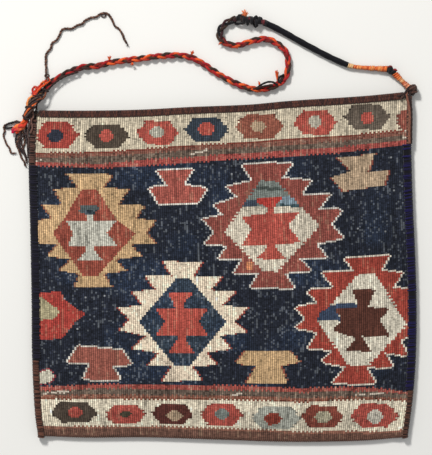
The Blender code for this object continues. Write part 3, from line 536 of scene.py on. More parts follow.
# The head of the strap past the corner: a thick turn of orange and red wool, its end a red lobe.
TASSEL_ROUTE = (
    (25.1, 119.75, 0.0107), (23.9, 122.9, 0.0090), (22.4, 125.0, 0.0070), (18.5, 127.8, 0.0044),
    (14.2, 131.4, 0.0039),
)
tassel_points = smooth_path(TASSEL_ROUTE, 0.0008)
tassel_turned = frames(tassel_points)
tassel_shape = Shape()
for k, (first, second) in enumerate(
    ((STRAP_ORANGE, dye("e0502a")), (dye("f08a4a"), dye("c02030")), (dye("c93a22"), dye("c81c3c"))),
):
    line = []
    for i, (p, (_, side, up)) in enumerate(zip(tassel_points, tassel_turned)):
        share = i / (len(tassel_points) - 1)
        phase = 2 * math.pi * (share * 0.8 + k / 3)
        line.append(p + side * 0.00175 * math.sin(phase) + up * 0.0015 * math.cos(phase))
    tassel_shape.tube(
        line, lambda t: 0.0019 * (0.9 + 0.35 * math.sin(math.pi * t)) * (1 if t < 0.93 else 0.75), 10,
        lambda t, a=first, b=second: blend_colour(a, b, t * 1.6 - 0.5), plies=3, twist=800.0, phase=k,
    )
lobe = smooth_path(
    ((20, 125.4, 0.0062), (15.5, 126.6, 0.0046), (12.6, 129.4, 0.0038), (12.2, 133.0, 0.0034)), 0.0008,
)
tassel_shape.tube(
    lobe, lambda t: 0.0016 + 0.0009 * math.sin(math.pi * min(0.25 + t, 1.0)), 12,
    lambda t: blend_colour(dye("e8763c"), dye("b8143c"), t * 2.4 - 0.7), plies=3, twist=700.0,
)
tassel = tassel_shape.object("strap_head", SPUN_WOOL)
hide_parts("left_tassel")
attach(tassel, "root")

# The dark knot that joins braid and smooth cord: fat turns of blue-black and maroon cord drawn tight
# over a core, each a rounded hump, with cut ends and one orange wisp standing out between them.
STRAP_KNOT_ROUTE = (
    (237.3, 17.7, 0.0047), (240.5, 17.0, 0.0055), (245, 18.0, 0.0064), (251, 19.4, 0.0064),
    (258, 20.0, 0.0061), (263.0, 21.5, 0.0051),
)
KNOT_COLOURS = (dye("0f0d12"), dye("341e1c"), dye("5e2026"))
TURN_SCALE = 0.001053
# Each turn: chart middle, half its length on the chart, lean from upright in radians, yarn radius, colour
KNOT_TURNS = (
    (235.2, 18.3, 2.2, 0.5, 0.00140, 1), (237.4, 17.4, 2.6, 0.35, 0.00140, 0),
    (239.6, 15.6, 1.9, 0.5, 0.00150, 0), (241.6, 18.2, 3.4, -0.2, 0.00150, 1),
    (244.2, 18.8, 4.5, 0.10, 0.00175, 0), (246.9, 20.2, 5.0, -0.16, 0.00175, 0),
    (249.4, 18.8, 3.4, 0.2, 0.00140, 2), (251.9, 19.8, 4.3, 0.06, 0.00165, 0),
    (254.0, 19.4, 3.2, -0.25, 0.00140, 1), (256.3, 22.0, 4.6, -0.10, 0.00160, 0),
    (259.2, 19.6, 3.9, 0.28, 0.00155, 0), (261.6, 20.6, 2.9, -0.2, 0.00140, 2),
    (263.8, 21.6, 3.1, 0.2, 0.00145, 2), (266.2, 22.8, 3.0, 0.35, 0.00140, 0),
)
knot_points = smooth_path(STRAP_KNOT_ROUTE, 0.0006)
knot_shape = Shape()
knot_shape.tube(
    knot_points, lambda t: 0.0030 + 0.0006 * math.cos(t * 6 * math.pi + math.pi), 12, STRAP_BLACK, plies=3,
    twist=700.0,
)
for x, y, half, lean, radius, colour in KNOT_TURNS:
    tall = min(0.0010 * half, 0.0042)
    middle = lay(x, y, tall + radius + 0.0002)
    long_way = Vector((math.sin(lean), math.cos(lean), 0)) * max(half * TURN_SCALE - radius, 0.0006)
    cord_way = Vector((math.cos(lean), -math.sin(lean), 0))
    ring = []
    for k in range(31):
        angle = 2 * math.pi * k / 28 - 0.5 * math.pi
        ring.append(
            middle + long_way * math.cos(angle) + Vector((0, 0, tall)) * math.sin(angle)
            + cord_way * 0.0011 * (k / 28 - 0.5)
        )
    knot_shape.tube(ring, radius, 10, KNOT_COLOURS[colour], plies=3, twist=800.0, depth=0.08)
# Loops and ends that stand out of the turns.
for route in (
    ((242.5, 17.0, 0.0085), (240.4, 15.0, 0.0072), (238.8, 14.6, 0.0058), (238.6, 16.4, 0.0052)),
    ((254.0, 19.0, 0.0100), (255.2, 16.6, 0.0095), (256.8, 16.2, 0.0084), (257.2, 18.4, 0.0080)),
    ((250.5, 20.5, 0.0085), (253.4, 23.4, 0.0065), (256.0, 26.4, 0.0034)),
    ((258.5, 20.5, 0.0090), (259.6, 18.0, 0.0080), (261.4, 17.8, 0.0068), (262.0, 20.0, 0.0070)),
    ((243.5, 22.4, 0.0060), (239.5, 23.0, 0.0045), (236.5, 23.0, 0.0030), (234.2, 21.2, 0.0036),
     (233.2, 19.6, 0.0050)),
):
    knot_shape.tube(smooth_path(route, 0.0009), 0.0013, 8, STRAP_BLACK, plies=2, twist=900.0, depth=0.14)
tuft(
    knot_shape, lay(245.4, 16.4, 0.0098), (-0.05, 1.0, 0.12), 0.0062, dye("dc7440"), 34, seed=9,
    thickness=0.00072, spread=0.5,
)
strap_knot = knot_shape.object("strap_joint_knot", SPUN_WOOL)
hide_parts("strap_knot")
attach(strap_knot, "root")

# The smooth blue-black cord: a tightly laid round cord with hardly any nap, lying almost straight.
NAVY_CORD_DIAMETER = 0.0066
NAVY_ROUTE = (
    (264.1, 21.7, 0.0042), (272, 25.2, 0.0034), (283, 30.8, 0.0034), (296, 38.2, 0.0034), (310, 45.9, 0.0034),
    (325, 53.8, 0.0034), (338, 60.0, 0.0034), (348.2, 64.4, 0.0036),
)
navy_points = smooth_path(NAVY_ROUTE, 0.0009)
navy_tone = wander(21, 30, 0.75, 1.25)
navy_shape = Shape()
navy_shape.tube(
    navy_points, lambda t: NAVY_CORD_DIAMETER / 2 * (1.0 - 0.06 * t), 16,
    lambda t: tuple(c * navy_tone(t) for c in dye("08080f")), plies=4, twist=420.0, depth=0.05,
)
navy_cord = navy_shape.object("smooth_cord", wool("smooth_cord_wool", roughness=0.78, fleck=0.3, sheen=0.02))
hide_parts("navy_cord")
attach(navy_cord, "root")

# Two stretches of the strap are wound with orange wool, close turns over a core, paler where they are worn.
UPPER_WRAP_ROUTE = (
    (349.0, 64.8, 0.0037), (357, 66.4, 0.0035), (366, 67.2, 0.0035), (376, 67.8, 0.0035),
    (387.2, 68.4, 0.0040),
)
LOWER_WRAP_ROUTE = ((395.5, 73.5, 0.0047), (399, 77.0, 0.0045), (403, 80.9, 0.0048), (408.5, 86.3, 0.0056))
WRAP_PITCH = 0.00105
WRAP_YARN = 0.00058


def calculated(tree, operation, a, b=0.5):
    """The output of a node that does one sum with two values or outputs."""
    return add_node(tree, "ShaderNodeMath", {0: a, 1: b}, operation=operation).outputs[0]


STITCH_SIZES = (0.95, 1.06)


def overcast_tree():
    """Geometry nodes that lay one stitch after another along a curve, each a little askew, and join them."""
    tree = bpy.data.node_groups.new("laid stitches", "GeometryNodeTree")
    for name, kind in (
        ("Geometry", "Geometry"), ("Stitch", "Object"), ("Pitch", "Float"), ("Slant", "Float"),
        ("Unevenness", "Float"), ("Seed", "Int"), ("Wool", "Material"),
    ):
        tree.interface.new_socket(name, in_out="INPUT", socket_type="NodeSocket" + kind)
    tree.interface.new_socket("Geometry", in_out="OUTPUT", socket_type="NodeSocketGeometry")
    given = tree.nodes.new("NodeGroupInput").outputs
    uneven, slant = given["Unevenness"], given["Slant"]
    curve = add_node(
        tree, "GeometryNodeResampleCurve", {"Curve": given["Geometry"], "Length": given["Pitch"]},
        mode="LENGTH",
    ).outputs["Curve"]
    places = add_node(tree, "GeometryNodeCurveToPoints", {"Curve": curve}, mode="EVALUATED").outputs
    stitch = add_node(tree, "GeometryNodeObjectInfo", {"Object": given["Stitch"]}).outputs["Geometry"]
    least = add_node(tree, "ShaderNodeCombineXYZ", {
        0: calculated(tree, "MULTIPLY", uneven, -1.0), 1: calculated(tree, "SUBTRACT", slant, uneven),
    })
    most = add_node(tree, "ShaderNodeCombineXYZ", {0: uneven, 1: calculated(tree, "ADD", slant, uneven)})
    askew = add_node(
        tree, "FunctionNodeRandomValue", {0: least.outputs[0], 1: most.outputs[0], "Seed": given["Seed"]},
        data_type="FLOAT_VECTOR",
    )
    size, tone = (
        add_node(
            tree, "FunctionNodeRandomValue", {2: low, 3: high, "Seed": given["Seed"]}, data_type="FLOAT",
        ).outputs[1]
        for low, high in (STITCH_SIZES, (0.0, 1.0))
    )
    turn = add_node(tree, "FunctionNodeEulerToRotation", {0: askew.outputs[0]}).outputs[0]
    turned = add_node(
        tree, "FunctionNodeRotateRotation", {"Rotation": places["Rotation"], "Rotate By": turn},
        rotation_space="LOCAL",
    )
    laid = add_node(tree, "GeometryNodeInstanceOnPoints", {
        "Points": places["Points"], "Instance": stitch, "Rotation": turned.outputs[0], "Scale": size,
    })
    toned = add_node(
        tree, "GeometryNodeStoreNamedAttribute",
        {"Geometry": laid.outputs["Instances"], "Name": "tone", "Value": tone}, domain="INSTANCE",
        data_type="FLOAT",
    )
    real = add_node(tree, "GeometryNodeRealizeInstances", {"Geometry": toned.outputs["Geometry"]})
    painted = add_node(
        tree, "GeometryNodeSetMaterial", {"Geometry": real.outputs["Geometry"], "Material": given["Wool"]},
    )
    add_node(tree, "NodeGroupOutput", {"Geometry": painted.outputs["Geometry"]})
    return tree


OVERCAST = overcast_tree()


STITCH_SIDES = 5


def stitch_loop(outline, yarn):
    """A closed turn of yarn round an outline in the XY plane, as the object that the stitches copy."""
    shape = Shape()
    count = len(outline)
    upright = Vector((0, 0, 1))
    middle = Vector((sum(p[0] for p in outline) / count, sum(p[1] for p in outline) / count, 0))
    for i, (x, y) in enumerate(outline):
        p = Vector((x, y, 0))
        before, after = Vector((*outline[i - 1], 0)), Vector((*outline[(i + 1) % count], 0))
        out = (after - before).normalized().cross(upright)
        if out.dot(p - middle) < 0:
            out = -out
        for k in range(STITCH_SIDES):
            angle = 2 * math.pi * k / STITCH_SIDES
            shape.verts.append(p + (out * math.cos(angle) + upright * math.sin(angle)) * yarn)
            shape.colours.append((1, 1, 1))
    for i in range(count):
        for k in range(STITCH_SIDES):
            here, there = i * STITCH_SIDES, (i + 1) % count * STITCH_SIDES
            beside = (k + 1) % STITCH_SIDES
            shape.faces.append((here + k, here + beside, there + beside, there + k))
    made = shape.object("stitch", SPUN_WOOL)
    turned_out(made.data)
    return made


def turned_out(mesh):
    """Makes the faces of a closed mesh point outwards."""
    bm = bmesh.new()
    bm.from_mesh(mesh)
    bmesh.ops.recalc_face_normals(bm, faces=bm.faces)
    bm.to_mesh(mesh)
    bm.free()


def laid_stitches(name, points, loop, pitch, slant, unevenness, seed, wool_used):
    """Stitches like the loop along a line of points, as one plain mesh object."""
    curve = bpy.data.curves.new(name, "CURVE")
    curve.dimensions = "3D"
    curve.twist_mode = "Z_UP"
    spline = curve.splines.new("POLY")
    spline.points.add(len(points) - 1)
    for slot, p in zip(spline.points, points):
        slot.co = (*p, 1.0)
    guide = placed(name + "_guide", curve)
    modifier = guide.modifiers.new("laid stitches", "NODES")
    modifier.node_group = OVERCAST
    given = {
        "Stitch": loop, "Pitch": pitch, "Slant": slant, "Unevenness": unevenness, "Seed": seed,
        "Wool": wool_used,
    }
    for item in OVERCAST.interface.items_tree:
        if item.in_out == "INPUT" and item.name in given:
            modifier[item.identifier] = given[item.name]
    graph = bpy.context.evaluated_depsgraph_get()
    graph.update()
    mesh = bpy.data.meshes.new_from_object(guide.evaluated_get(graph))
    mesh.name = name
    bpy.data.objects.remove(guide, do_unlink=True)
    mesh.shade_smooth()
    return placed(name, mesh)


def circle(radius, count=12):
    """A round outline in the XY plane."""
    return [
        (radius * math.cos(2 * math.pi * k / count), radius * math.sin(2 * math.pi * k / count))
        for k in range(count)
    ]


def joined(name, parts):
    """Several mesh objects made into one."""
    bpy.ops.object.select_all(action="DESELECT")
    for part in parts:
        part.select_set(True)
    bpy.context.view_layer.objects.active = parts[0]
    bpy.ops.object.join()
    parts[0].name = name
    parts[0].data.name = name
    return parts[0]


def toned_wool(name, dark, light, fleck=0.3):
    """Wool for laid stitches: each has its own tone between two colours."""
    # Stitch wool gets more painted shade than other wool where it faces sideways or down.
    made = wool(name, fleck=fleck, side_shade=0.58)
    tree = made.node_tree
    tone = add_node(tree, "ShaderNodeAttribute", attribute_name="tone").outputs["Fac"]
    mix = add_node(
        tree, "ShaderNodeMix", {"Factor": tone, "A": (*dark, 1.0), "B": (*light, 1.0)}, data_type="RGBA",
    )
    tree.links.new(mix.outputs["Result"], tree.nodes["flecked"].inputs[0])
    return made


DEEP_TURNS = toned_wool("deep_orange_turns", dye("b83c1a"), dye("f07c38"), fleck=0.25)
ORANGE_TURNS = toned_wool("orange_turns", dye("c84818"), dye("f59250"), fleck=0.25)
PALE_TURNS = toned_wool("pale_orange_turns", dye("d05a22"), dye("f8a864"), fleck=0.25)
WORN_TURNS = toned_wool("worn_orange_turns", dye("c8602c"), dye("f2cc94"), fleck=0.25)
PINK_TURNS = toned_wool("pink_turns", dye("b0452c"), dye("eaa078"), fleck=0.25)
# Each stretch is wound in short runs: its name, route, each run's radius and wool, and a seed.
wrapped = {}
for name, route, runs, seed in (
    ("upper_wound_cord", UPPER_WRAP_ROUTE, (
        (0.0021, WORN_TURNS), (0.0018, ORANGE_TURNS), (0.0019, PALE_TURNS), (0.0018, ORANGE_TURNS),
        (0.0021, ORANGE_TURNS),
        (0.0024, PALE_TURNS), (0.0020, DEEP_TURNS), (0.0026, PALE_TURNS), (0.0028, DEEP_TURNS)), 3),
    ("lower_wound_cord", LOWER_WRAP_ROUTE, (
        (0.0031, DEEP_TURNS), (0.0026, ORANGE_TURNS), (0.0022, WORN_TURNS), (0.0023, WORN_TURNS),
        (0.0027, PINK_TURNS)), 4),
):
    points = smooth_path(route, 0.0005)
    core = Shape()
    core.tube(points, min(radius for radius, _ in runs), 12, STRAP_ORANGE)
    parts = [core.object(name, SPUN_WOOL)]
    length = (len(points) - 1) // len(runs)
    for k, (radius, material) in enumerate(runs):
        loop = stitch_loop(circle(radius), WRAP_YARN)
        stop = len(points) if k == len(runs) - 1 else (k + 1) * length + 1
        parts.append(
            laid_stitches(f"{name}_{k}", points[k * length:stop], loop, WRAP_PITCH, 0.16, 0.12, seed + k,
                          material),
        )
        bpy.data.objects.remove(loop, do_unlink=True)
    wrapped[name] = joined(name, parts)
    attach(wrapped[name], "root")
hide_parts("upper_wrapped_cord")
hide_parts("lower_wrapped_cord")

# Between the two wound stretches sits a hard whipping of black cord with a red end caught in it.
WHIPPING_ROUTE = ((388.2, 68.5, 0.0046), (390.6, 69.3, 0.0048), (393.0, 71.0, 0.0048), (395.0, 73.0, 0.0048))
whip_points = smooth_path(WHIPPING_ROUTE, 0.0006)
whip_turned = frames(whip_points)
whip_shape = Shape()
whip_shape.tube(whip_points, 0.0018, 12, STRAP_BLACK)
for start in (0.0, math.pi):
    strand = []
    for i, (p, (_, side, up)) in enumerate(zip(whip_points, whip_turned)):
        angle = start + 2.6 * math.pi * i / (len(whip_points) - 1)
        strand.append(p + side * 0.0019 * math.cos(angle) + up * 0.0017 * math.sin(angle))
    whip_shape.tube(strand, 0.0018, 9, dye("0c0c10"), plies=3, twist=1000.0, depth=0.14)
for share, tilt, radius in ((0.30, 0.30, 0.0034), (0.74, -0.25, 0.0033)):
    i = int(share * (len(whip_points) - 1))
    tangent, side, up = whip_turned[i]
    ring = []
    for k in range(25):
        angle = 2 * math.pi * k / 24 - 0.5 * math.pi
        ring.append(whip_points[i] + side * radius * math.cos(angle) + up * radius * math.sin(angle)
                    + tangent * (tilt * radius * math.cos(angle) + 0.0008 * (k / 24 - 0.5)))
    whip_shape.tube(ring, 0.00115, 8, dye("0e0e12"), plies=2, twist=1200.0, depth=0.14)
for route, colour in (
    (((388.6, 66.9, 0.0066), (390.4, 65.7, 0.0074), (392.2, 66.6, 0.0066)), "7a1c1a"),
    (((394.2, 69.6, 0.0072), (395.6, 68.9, 0.0078), (397.0, 70.6, 0.0070)), "8e2226"),
):
    whip_shape.tube(smooth_path(route, 0.0008), 0.0010, 8, dye(colour), plies=2, twist=1200.0, depth=0.16)
tuft(whip_shape, lay(395.6, 69.9, 0.006), (0.4, 0.7, 0.3), 0.0026, dye("b01e35"), 12, seed=14, spread=0.5)
tuft(whip_shape, lay(390.5, 66.2, 0.006), (0.5, 0.8, 0.3), 0.0022, dye("b03020"), 8, seed=15, spread=0.5)
whipping = whip_shape.object("black_whipping", SPUN_WOOL)
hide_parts("whipping_knot")
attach(whipping, "root")

# A thin dark tie of two-ply goat hair is hitched over the braid and trails across the floor. Its
# plies stand open at two small eyes, and its end is frayed.
TIE_CORD_DIAMETER = 0.0026
TIE_CORD_ROUTE = (
    (49.2, 80.4, 0.0097), (46.6, 75.5, 0.0066), (45.2, 66.5, 0.0019), (45.9, 60, 0.0014), (46.0, 54, 0.0014),
    (49.0, 48.6, 0.0014), (51.2, 43.6, 0.0014), (55.0, 39.6, 0.0014), (58, 35, 0.0014), (61.2, 30, 0.0014),
    (65.5, 27.6, 0.0014), (71, 27.8, 0.0014), (76.5, 24.6, 0.0014), (83, 21, 0.0014), (90, 17.8, 0.0014),
    (97, 14.3, 0.0014), (102.5, 12.4, 0.0014), (107.2, 13.4, 0.0014), (110.4, 17.2, 0.0014),
    (113, 22, 0.0014), (117, 26.6, 0.0014), (120.8, 32.2, 0.0014), (124, 38.2, 0.0014), (126.5, 42.5, 0.0014),
)
TIE_TAIL_ROUTES = {
    "tie_tail_outer": (
        (20.6, 132.0, 0.0014), (17.6, 137, 0.0014), (16.2, 143, 0.0014), (17.2, 149, 0.0014),
        (20.2, 155, 0.0014), (22.8, 160.5, 0.0014), (25.2, 165.5, 0.0016),
    ),
    "tie_tail_inner": (
        (22.6, 130.6, 0.0038), (22.8, 136, 0.0018), (24.0, 141, 0.0014), (22.6, 146.5, 0.0014),
        (23.2, 152, 0.0014), (25.0, 157, 0.0016), (25.7, 161.5, 0.0020),
    ),
    "tie_loop": (
        (19.4, 121.5, 0.0056), (16.2, 120.7, 0.0030), (12, 121.4, 0.0016), (7, 123.4, 0.0014),
        (3.8, 126.2, 0.0014), (3.4, 130.4, 0.0014), (3.2, 134.8, 0.0014), (4.2, 139.4, 0.0014),
        (6.4, 144.2, 0.0014), (8.4, 149, 0.0014), (10.8, 152.4, 0.0014), (14.4, 152.8, 0.0014),
    ),
}
GOAT_HAIR = (dye("3d2821"), dye("6b4a3b"))
PLY_SHARE = 0.64


def two_ply(shape, points, radius, pitch, seed):
    """A cord of two plies wound round each other, kinked a little as an old cord is."""
    turned = frames_along(points)
    kink = wander(seed, max(6, len(points) // 8), -0.8 * radius, 0.8 * radius)
    open_up = wander(seed + 1, max(6, len(points) // 12), 0.75, 1.25)
    tone = wander(seed + 2, max(8, len(points) // 6), 0.7, 1.35)
    run = 0.0
    lines = ([], [])
    for i, (p, (side, up)) in enumerate(zip(points, turned)):
        run += (p - points[i - 1]).length if i else 0.0
        share = i / (len(points) - 1)
        for k, line in enumerate(lines):
            phase = 2 * math.pi * (run / pitch + k / 2)
            reach = radius * 0.5 * open_up(share)
            spot = p + side * (reach * math.cos(phase) + kink(share)) + up * reach * math.sin(phase)
            spot.z = max(spot.z, radius * PLY_SHARE)
            line.append(spot)
    for k, line in enumerate(lines):
        shape.tube(line, lambda t: radius * PLY_SHARE * (1.0 - 0.25 * max(0.0, t - 0.93) / 0.07), 6,
                   lambda t, c=GOAT_HAIR[k]: tuple(x * tone(t) for x in c))


def fray(shape, place, direction, length, hairs, seed):
    """A cut end of goat hair."""
    tuft(shape, place, direction, length, GOAT_HAIR[0], hairs, seed, thickness=0.00022, spread=0.45)


tie_cord_points = smooth_path(TIE_CORD_ROUTE, 0.0007)
tie_cord_shape = Shape()
two_ply(tie_cord_shape, tie_cord_points, TIE_CORD_DIAMETER / 2, 0.0056, seed=31)
tie_ends_shape = Shape()
fray(tie_ends_shape, tie_cord_points[-1], (0.3, -1, 0), 0.0042, 14, seed=33)
fray(tie_ends_shape, lay(47.0, 77.5, 0.008), (-0.8, -0.6, 0.1), 0.0040, 10, seed=34)
for x, y, radius in ((103.0, 14.4, 0.0020), (46.8, 75.5, 0.0020)):
    eye = [lay(x, y, 0.0012
               if y < 40 else 0.0080) + Vector((radius * 1.2 * math.cos(a), radius * 0.8 * math.sin(a), 0))
           for a in np.linspace(0, 2 * math.pi, 17)]
    tie_ends_shape.tube(eye, 0.00065, 6, GOAT_HAIR[0])
tie_ends = tie_ends_shape.object("trailing_tie_ends", SPUN_WOOL)
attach(tie_ends, "root")
tie_cord = tie_cord_shape.object("trailing_tie", SPUN_WOOL)
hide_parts("tie_cord")
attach(tie_cord, "root")

# Loose ends of the same goat-hair cord at the left corner: two lie down beside the seam and one
# wanders out to the left and back.
STRAND_DIAMETER = 0.0022
for seed, (node, route) in enumerate(TIE_TAIL_ROUTES.items()):
    points = smooth_path(route, 0.0006)
    shape = Shape()
    two_ply(shape, points, STRAND_DIAMETER / 2, 0.0046, seed=51 + 3 * seed)
    fray(shape, points[-1], points[-1] - points[-3], 0.0022, 8, seed=61 + seed)
    tail = shape.object(node + "_yarn", SPUN_WOOL)
    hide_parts(node)
    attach(tail, "root")

# The cloth: one strip of tapestry-woven wool, folded at the bottom. Its warps run up the bag and make
# upright ribs, and every patch of colour ends at a rib and a row of weft, which steps the slanting edges.
CLOTH_THICKNESS = 0.0026
POCKET_GAP = 0.0072
SIDE_GAP = 0.0008
FOLD_GAP = 0.0016
CLEARANCE = 0.0003
SEAM_WALL = 0.0011
SEAM_LIP = 0.0060
SEAM_BEAD = 0.0030
BINDING_LIP = 0.0042
BINDING_BEAD = 0.0034
EDGE_RAMP = 0.026
BOTTOM_DELAY = 0.3
LIFT_RAMP = 0.010
LEFT_EDGE = (
    (31.0, 106), (29.0, 135), (28.2, 165), (29.5, 215), (30.5, 260), (31.2, 304), (31.8, 360), (34.7, 415),
    (38.0, 438),
)
RIGHT_EDGE = (
    (412.5, 90), (412.0, 118), (411.8, 152), (413.2, 200), (415.4, 250), (417.0, 304), (416.5, 350),
    (414.0, 391), (408.0, 438),
)
MOUTH_EDGE = (
    (28, 109.5), (60, 110.5), (100, 110.5), (144, 109.5), (190, 107), (250, 104.5), (288, 101), (370, 95.5),
    (414, 90.5),
)
FOLD_EDGE = ((36, 436.6), (85, 438.5), (144, 438.2), (220, 440.6), (288, 442.7), (360, 441.7), (410, 437.6))
RIBS = 180
FRONT_ROWS = 204
BACK_ROWS = 12
FOLD_ROWS = 7
RIB_RELIEF = 0.00055


def through(points, key, axis=0):
    """The smooth curve through a list of points, read at one coordinate, for numbers or arrays."""
    known = np.array([p[axis] for p in points], float)
    value = np.array([p[1 - axis] for p in points], float)
    last = len(points) - 1
    low = np.maximum(np.arange(last + 1) - 1, 0)
    high = np.minimum(np.arange(last + 1) + 1, last)
    slope = (value[high] - value[low]) / (known[high] - known[low])
    key = np.asarray(key, float)
    start = np.clip(np.searchsorted(known, key, side="left") - 1, 0, last - 1)
    span = known[start + 1] - known[start]
    t = np.clip((key - known[start]) / span, 0.0, 1.0)
    return (
        (2 * t**3 - 3 * t**2 + 1) * value[start] + (t**3 - 2 * t**2 + t) * slope[start] * span
        + (-2 * t**3 + 3 * t**2) * value[start + 1] + (t**3 - t**2) * slope[start + 1] * span
    )


def left_x(y):
    """Chart x of the cloth's left side at chart y."""
    return through(LEFT_EDGE, y, axis=1)


def right_x(y):
    """Chart x of the cloth's right side at chart y."""
    return through(RIGHT_EDGE, y, axis=1)


def mouth_y(x):
    """Chart y of the mouth's edge at chart x."""
    return through(MOUTH_EDGE, x)


def fold_y(x):
    """Chart y of the bottom fold at chart x."""
    return through(FOLD_EDGE, x)


def smooth(value):
    """An even ramp from 0 to 1, level at both ends."""
    value = np.clip(value, 0.0, 1.0)
    return value * value * (3 - 2 * value)


def side_distance(x, y):
    """Metres in from the nearer side of the cloth."""
    inset = SEAM_BEAD / UNIT_X
    return np.minimum(x - left_x(y) - inset, right_x(y) - inset - x) * UNIT_X


def lift(x, y):
    """How far the seams and the back binding hold the back panel's underside off the floor."""
    from_mouth = (y - mouth_y(x)) * UNIT_X - BINDING_BEAD
    edge = np.minimum(side_distance(x, y) - SEAM_LIP, from_mouth - BINDING_LIP)
    return (SEAM_WALL + CLEARANCE) * (1 - smooth((edge - CLEARANCE) / LIFT_RAMP))


def pocket(x, y):
    """Clear gap between the panels: closed along the side seams, open in the middle and at the mouth."""
    sides = smooth((side_distance(x, y) - SEAM_LIP - CLEARANCE) / EDGE_RAMP)
    bottom = smooth((fold_y(x) - y) * UNIT_X / EDGE_RAMP - BOTTOM_DELAY)
    closed = SIDE_GAP + (FOLD_GAP - SIDE_GAP) * sides
    return closed + (POCKET_GAP - closed) * sides * bottom


def front_height(x, y):
    """Height of the front's outer face, without its ripples."""
    return lift(x, y) + 2 * CLOTH_THICKNESS + pocket(x, y)


def cloth_edges(v):
    """Chart points of the cloth's left and right side at a share v of the way from mouth to fold."""
    inset = SEAM_BEAD / UNIT_X
    ends = []
    for side, edge, sign in ((left_x, LEFT_EDGE, 1), (right_x, RIGHT_EDGE, -1)):
        corner_x = side(edge[0][1]) + sign * inset
        top = mouth_y(corner_x) + BINDING_BEAD / UNIT_X
        foot_x = side(edge[-1][1]) + sign * inset
        half_stack = CLOTH_THICKNESS + pocket(foot_x, fold_y(foot_x)) / 2
        bottom = fold_y(foot_x) - half_stack / UNIT_X
        y = top + (bottom - top) * v
        ends.append((side(y) + sign * inset, y))
    return ends


def panel_point(u, v):
    """Chart points of a panel: u, a number or an array, from left to right and v from mouth to fold."""
    (x0, y0), (x1, y1) = cloth_edges(v)
    x = x0 + (x1 - x0) * u
    straight = y0 + (y1 - y0) * u
    (a0, b0), (a1, b1) = cloth_edges(0.0)
    (c0, d0), (c1, d1) = cloth_edges(1.0)
    top_bow = mouth_y(a0 + (a1 - a0) * u) + BINDING_BEAD / UNIT_X - (b0 + (b1 - b0) * u)
    foot_x = c0 + (c1 - c0) * u
    half_stack = CLOTH_THICKNESS + pocket(foot_x, fold_y(foot_x)) / 2
    bottom_bow = fold_y(foot_x) - half_stack / UNIT_X - (d0 + (d1 - d0) * u)
    return x, straight + top_bow * (1 - v) + bottom_bow * v


def metres(x, y, z):
    """Rows of places in metres for chart points at heights in metres."""
    return np.stack([(x - CHART_MIDDLE[0]) * UNIT_X, (CHART_MIDDLE[1] - y) * UNIT_Y, z], axis=-1)


def ripple(x, y):
    """The slight unevenness of old cloth lying slack, in metres, none of it at the sewn edges."""
    waves = (
        0.00035 * np.sin(x * 0.061 + 0.8) * np.sin(y * 0.047 + 0.3)
        + 0.00022 * np.sin(x * 0.113 + y * 0.071 + 1.9)
        + 0.00016 * np.sin(x * 0.19 - y * 0.145 + 0.4) + 0.00010 * np.sin(x * 0.31 + y * 0.27)
    )
    inside = smooth((side_distance(x, y) - SEAM_LIP) / 0.012) * smooth((y - mouth_y(x)) * UNIT_X / 0.02 - 0.4)
    return waves * inside


# Wool colours of the cloth, as seen in plain daylight
NAVY = dye("232732")
CREAM = dye("cdc0a8")
RED = dye("b05449")
OCHRE = dye("c8a67c")
MAROON = dye("8e4d44")
OFF_WHITE = dye("c1beb0")
IVORY = dye("efdcc2")
TEAL = dye("343f4b")
CHARCOAL = dye("51463c")
TAN = dye("b39b80")
SLATE = dye("7b827c")
SKY = dye("7f929c")
PLUM = dye("5c312b")
CHESTNUT = dye("5b362c")
GREY_BROWN = dye("6b5b50")
BAND_BROWN = dye("6d4e42")
# Painted shade: the inner faces of the strip are all this dark brown, the shade inside the pocket.
INSIDE_SHADE = dye("3d2b26")


def hexagon(left, right, top, bottom, cut=0.27):
    """The rounded-off hexagons of the borders: flat top and bottom, stepped in to blunt points."""
    width, height = right - left, bottom - top
    x, y = (left + right) / 2, (top + bottom) / 2
    flat, shoulder, near = width * cut, height * 0.24, width * 0.10
    return (
        (x - flat, top), (x + flat, top), (right - near, y - shoulder), (right, y),
        (right - near, y + shoulder),
        (x + flat, bottom), (x - flat, bottom), (left + near, y + shoulder), (left, y),
        (left + near, y - shoulder),
    )


# Where the bands across the bag begin, in chart y at each chart x.
TOP_STRIPES = {
    "x": (37, 50, 100, 144, 180, 230, 288, 340, 395, 412),
    "brick": (152.4, 152.4, 151.8, 148.7, 145.8, 142.8, 138.9, 135.8, 130.4, 129.0),
    "grey": (157.5, 157.5, 156.5, 153.8, 150.8, 148.6, 145.5, 141.3, 136.2, 134.5),
    "red": (162.0, 162.4, 164.2, 159.6, 157.8, 153.7, 150.6, 147.0, 140.6, 139.0),
    "navy": (165.5, 166.0, 168.0, 166.0, 163.6, 159.5, 156.5, 152.8, 145.9, 144.0),
}
LOW_STRIPES = {
    "x": (37, 50, 100, 160, 230, 270, 301, 341, 375, 395, 412),
    "red": (387.0, 386.6, 383.8, 384.9, 385.4, 386.6, 388.2, 386.5, 387.6, 390.4, 392.6),
    "grey": (391.0, 391.0, 388.2, 389.2, 390.3, 391.2, 392.3, 391.0, 391.6, 393.2, 394.6),
    "brick": (395.3, 395.3, 394.3, 395.3, 395.8, 396.8, 398.4, 396.4, 397.0, 398.3, 399.2),
    "cream": (399.4, 399.5, 398.7, 399.6, 399.6, 400.8, 402.6, 400.0, 399.6, 400.8, 401.6),
    "band": (426.0, 426.7, 426.6, 426.8, 428.6, 430.2, 432.2, 431.0, 432.0, 431.0, 428.5),
}
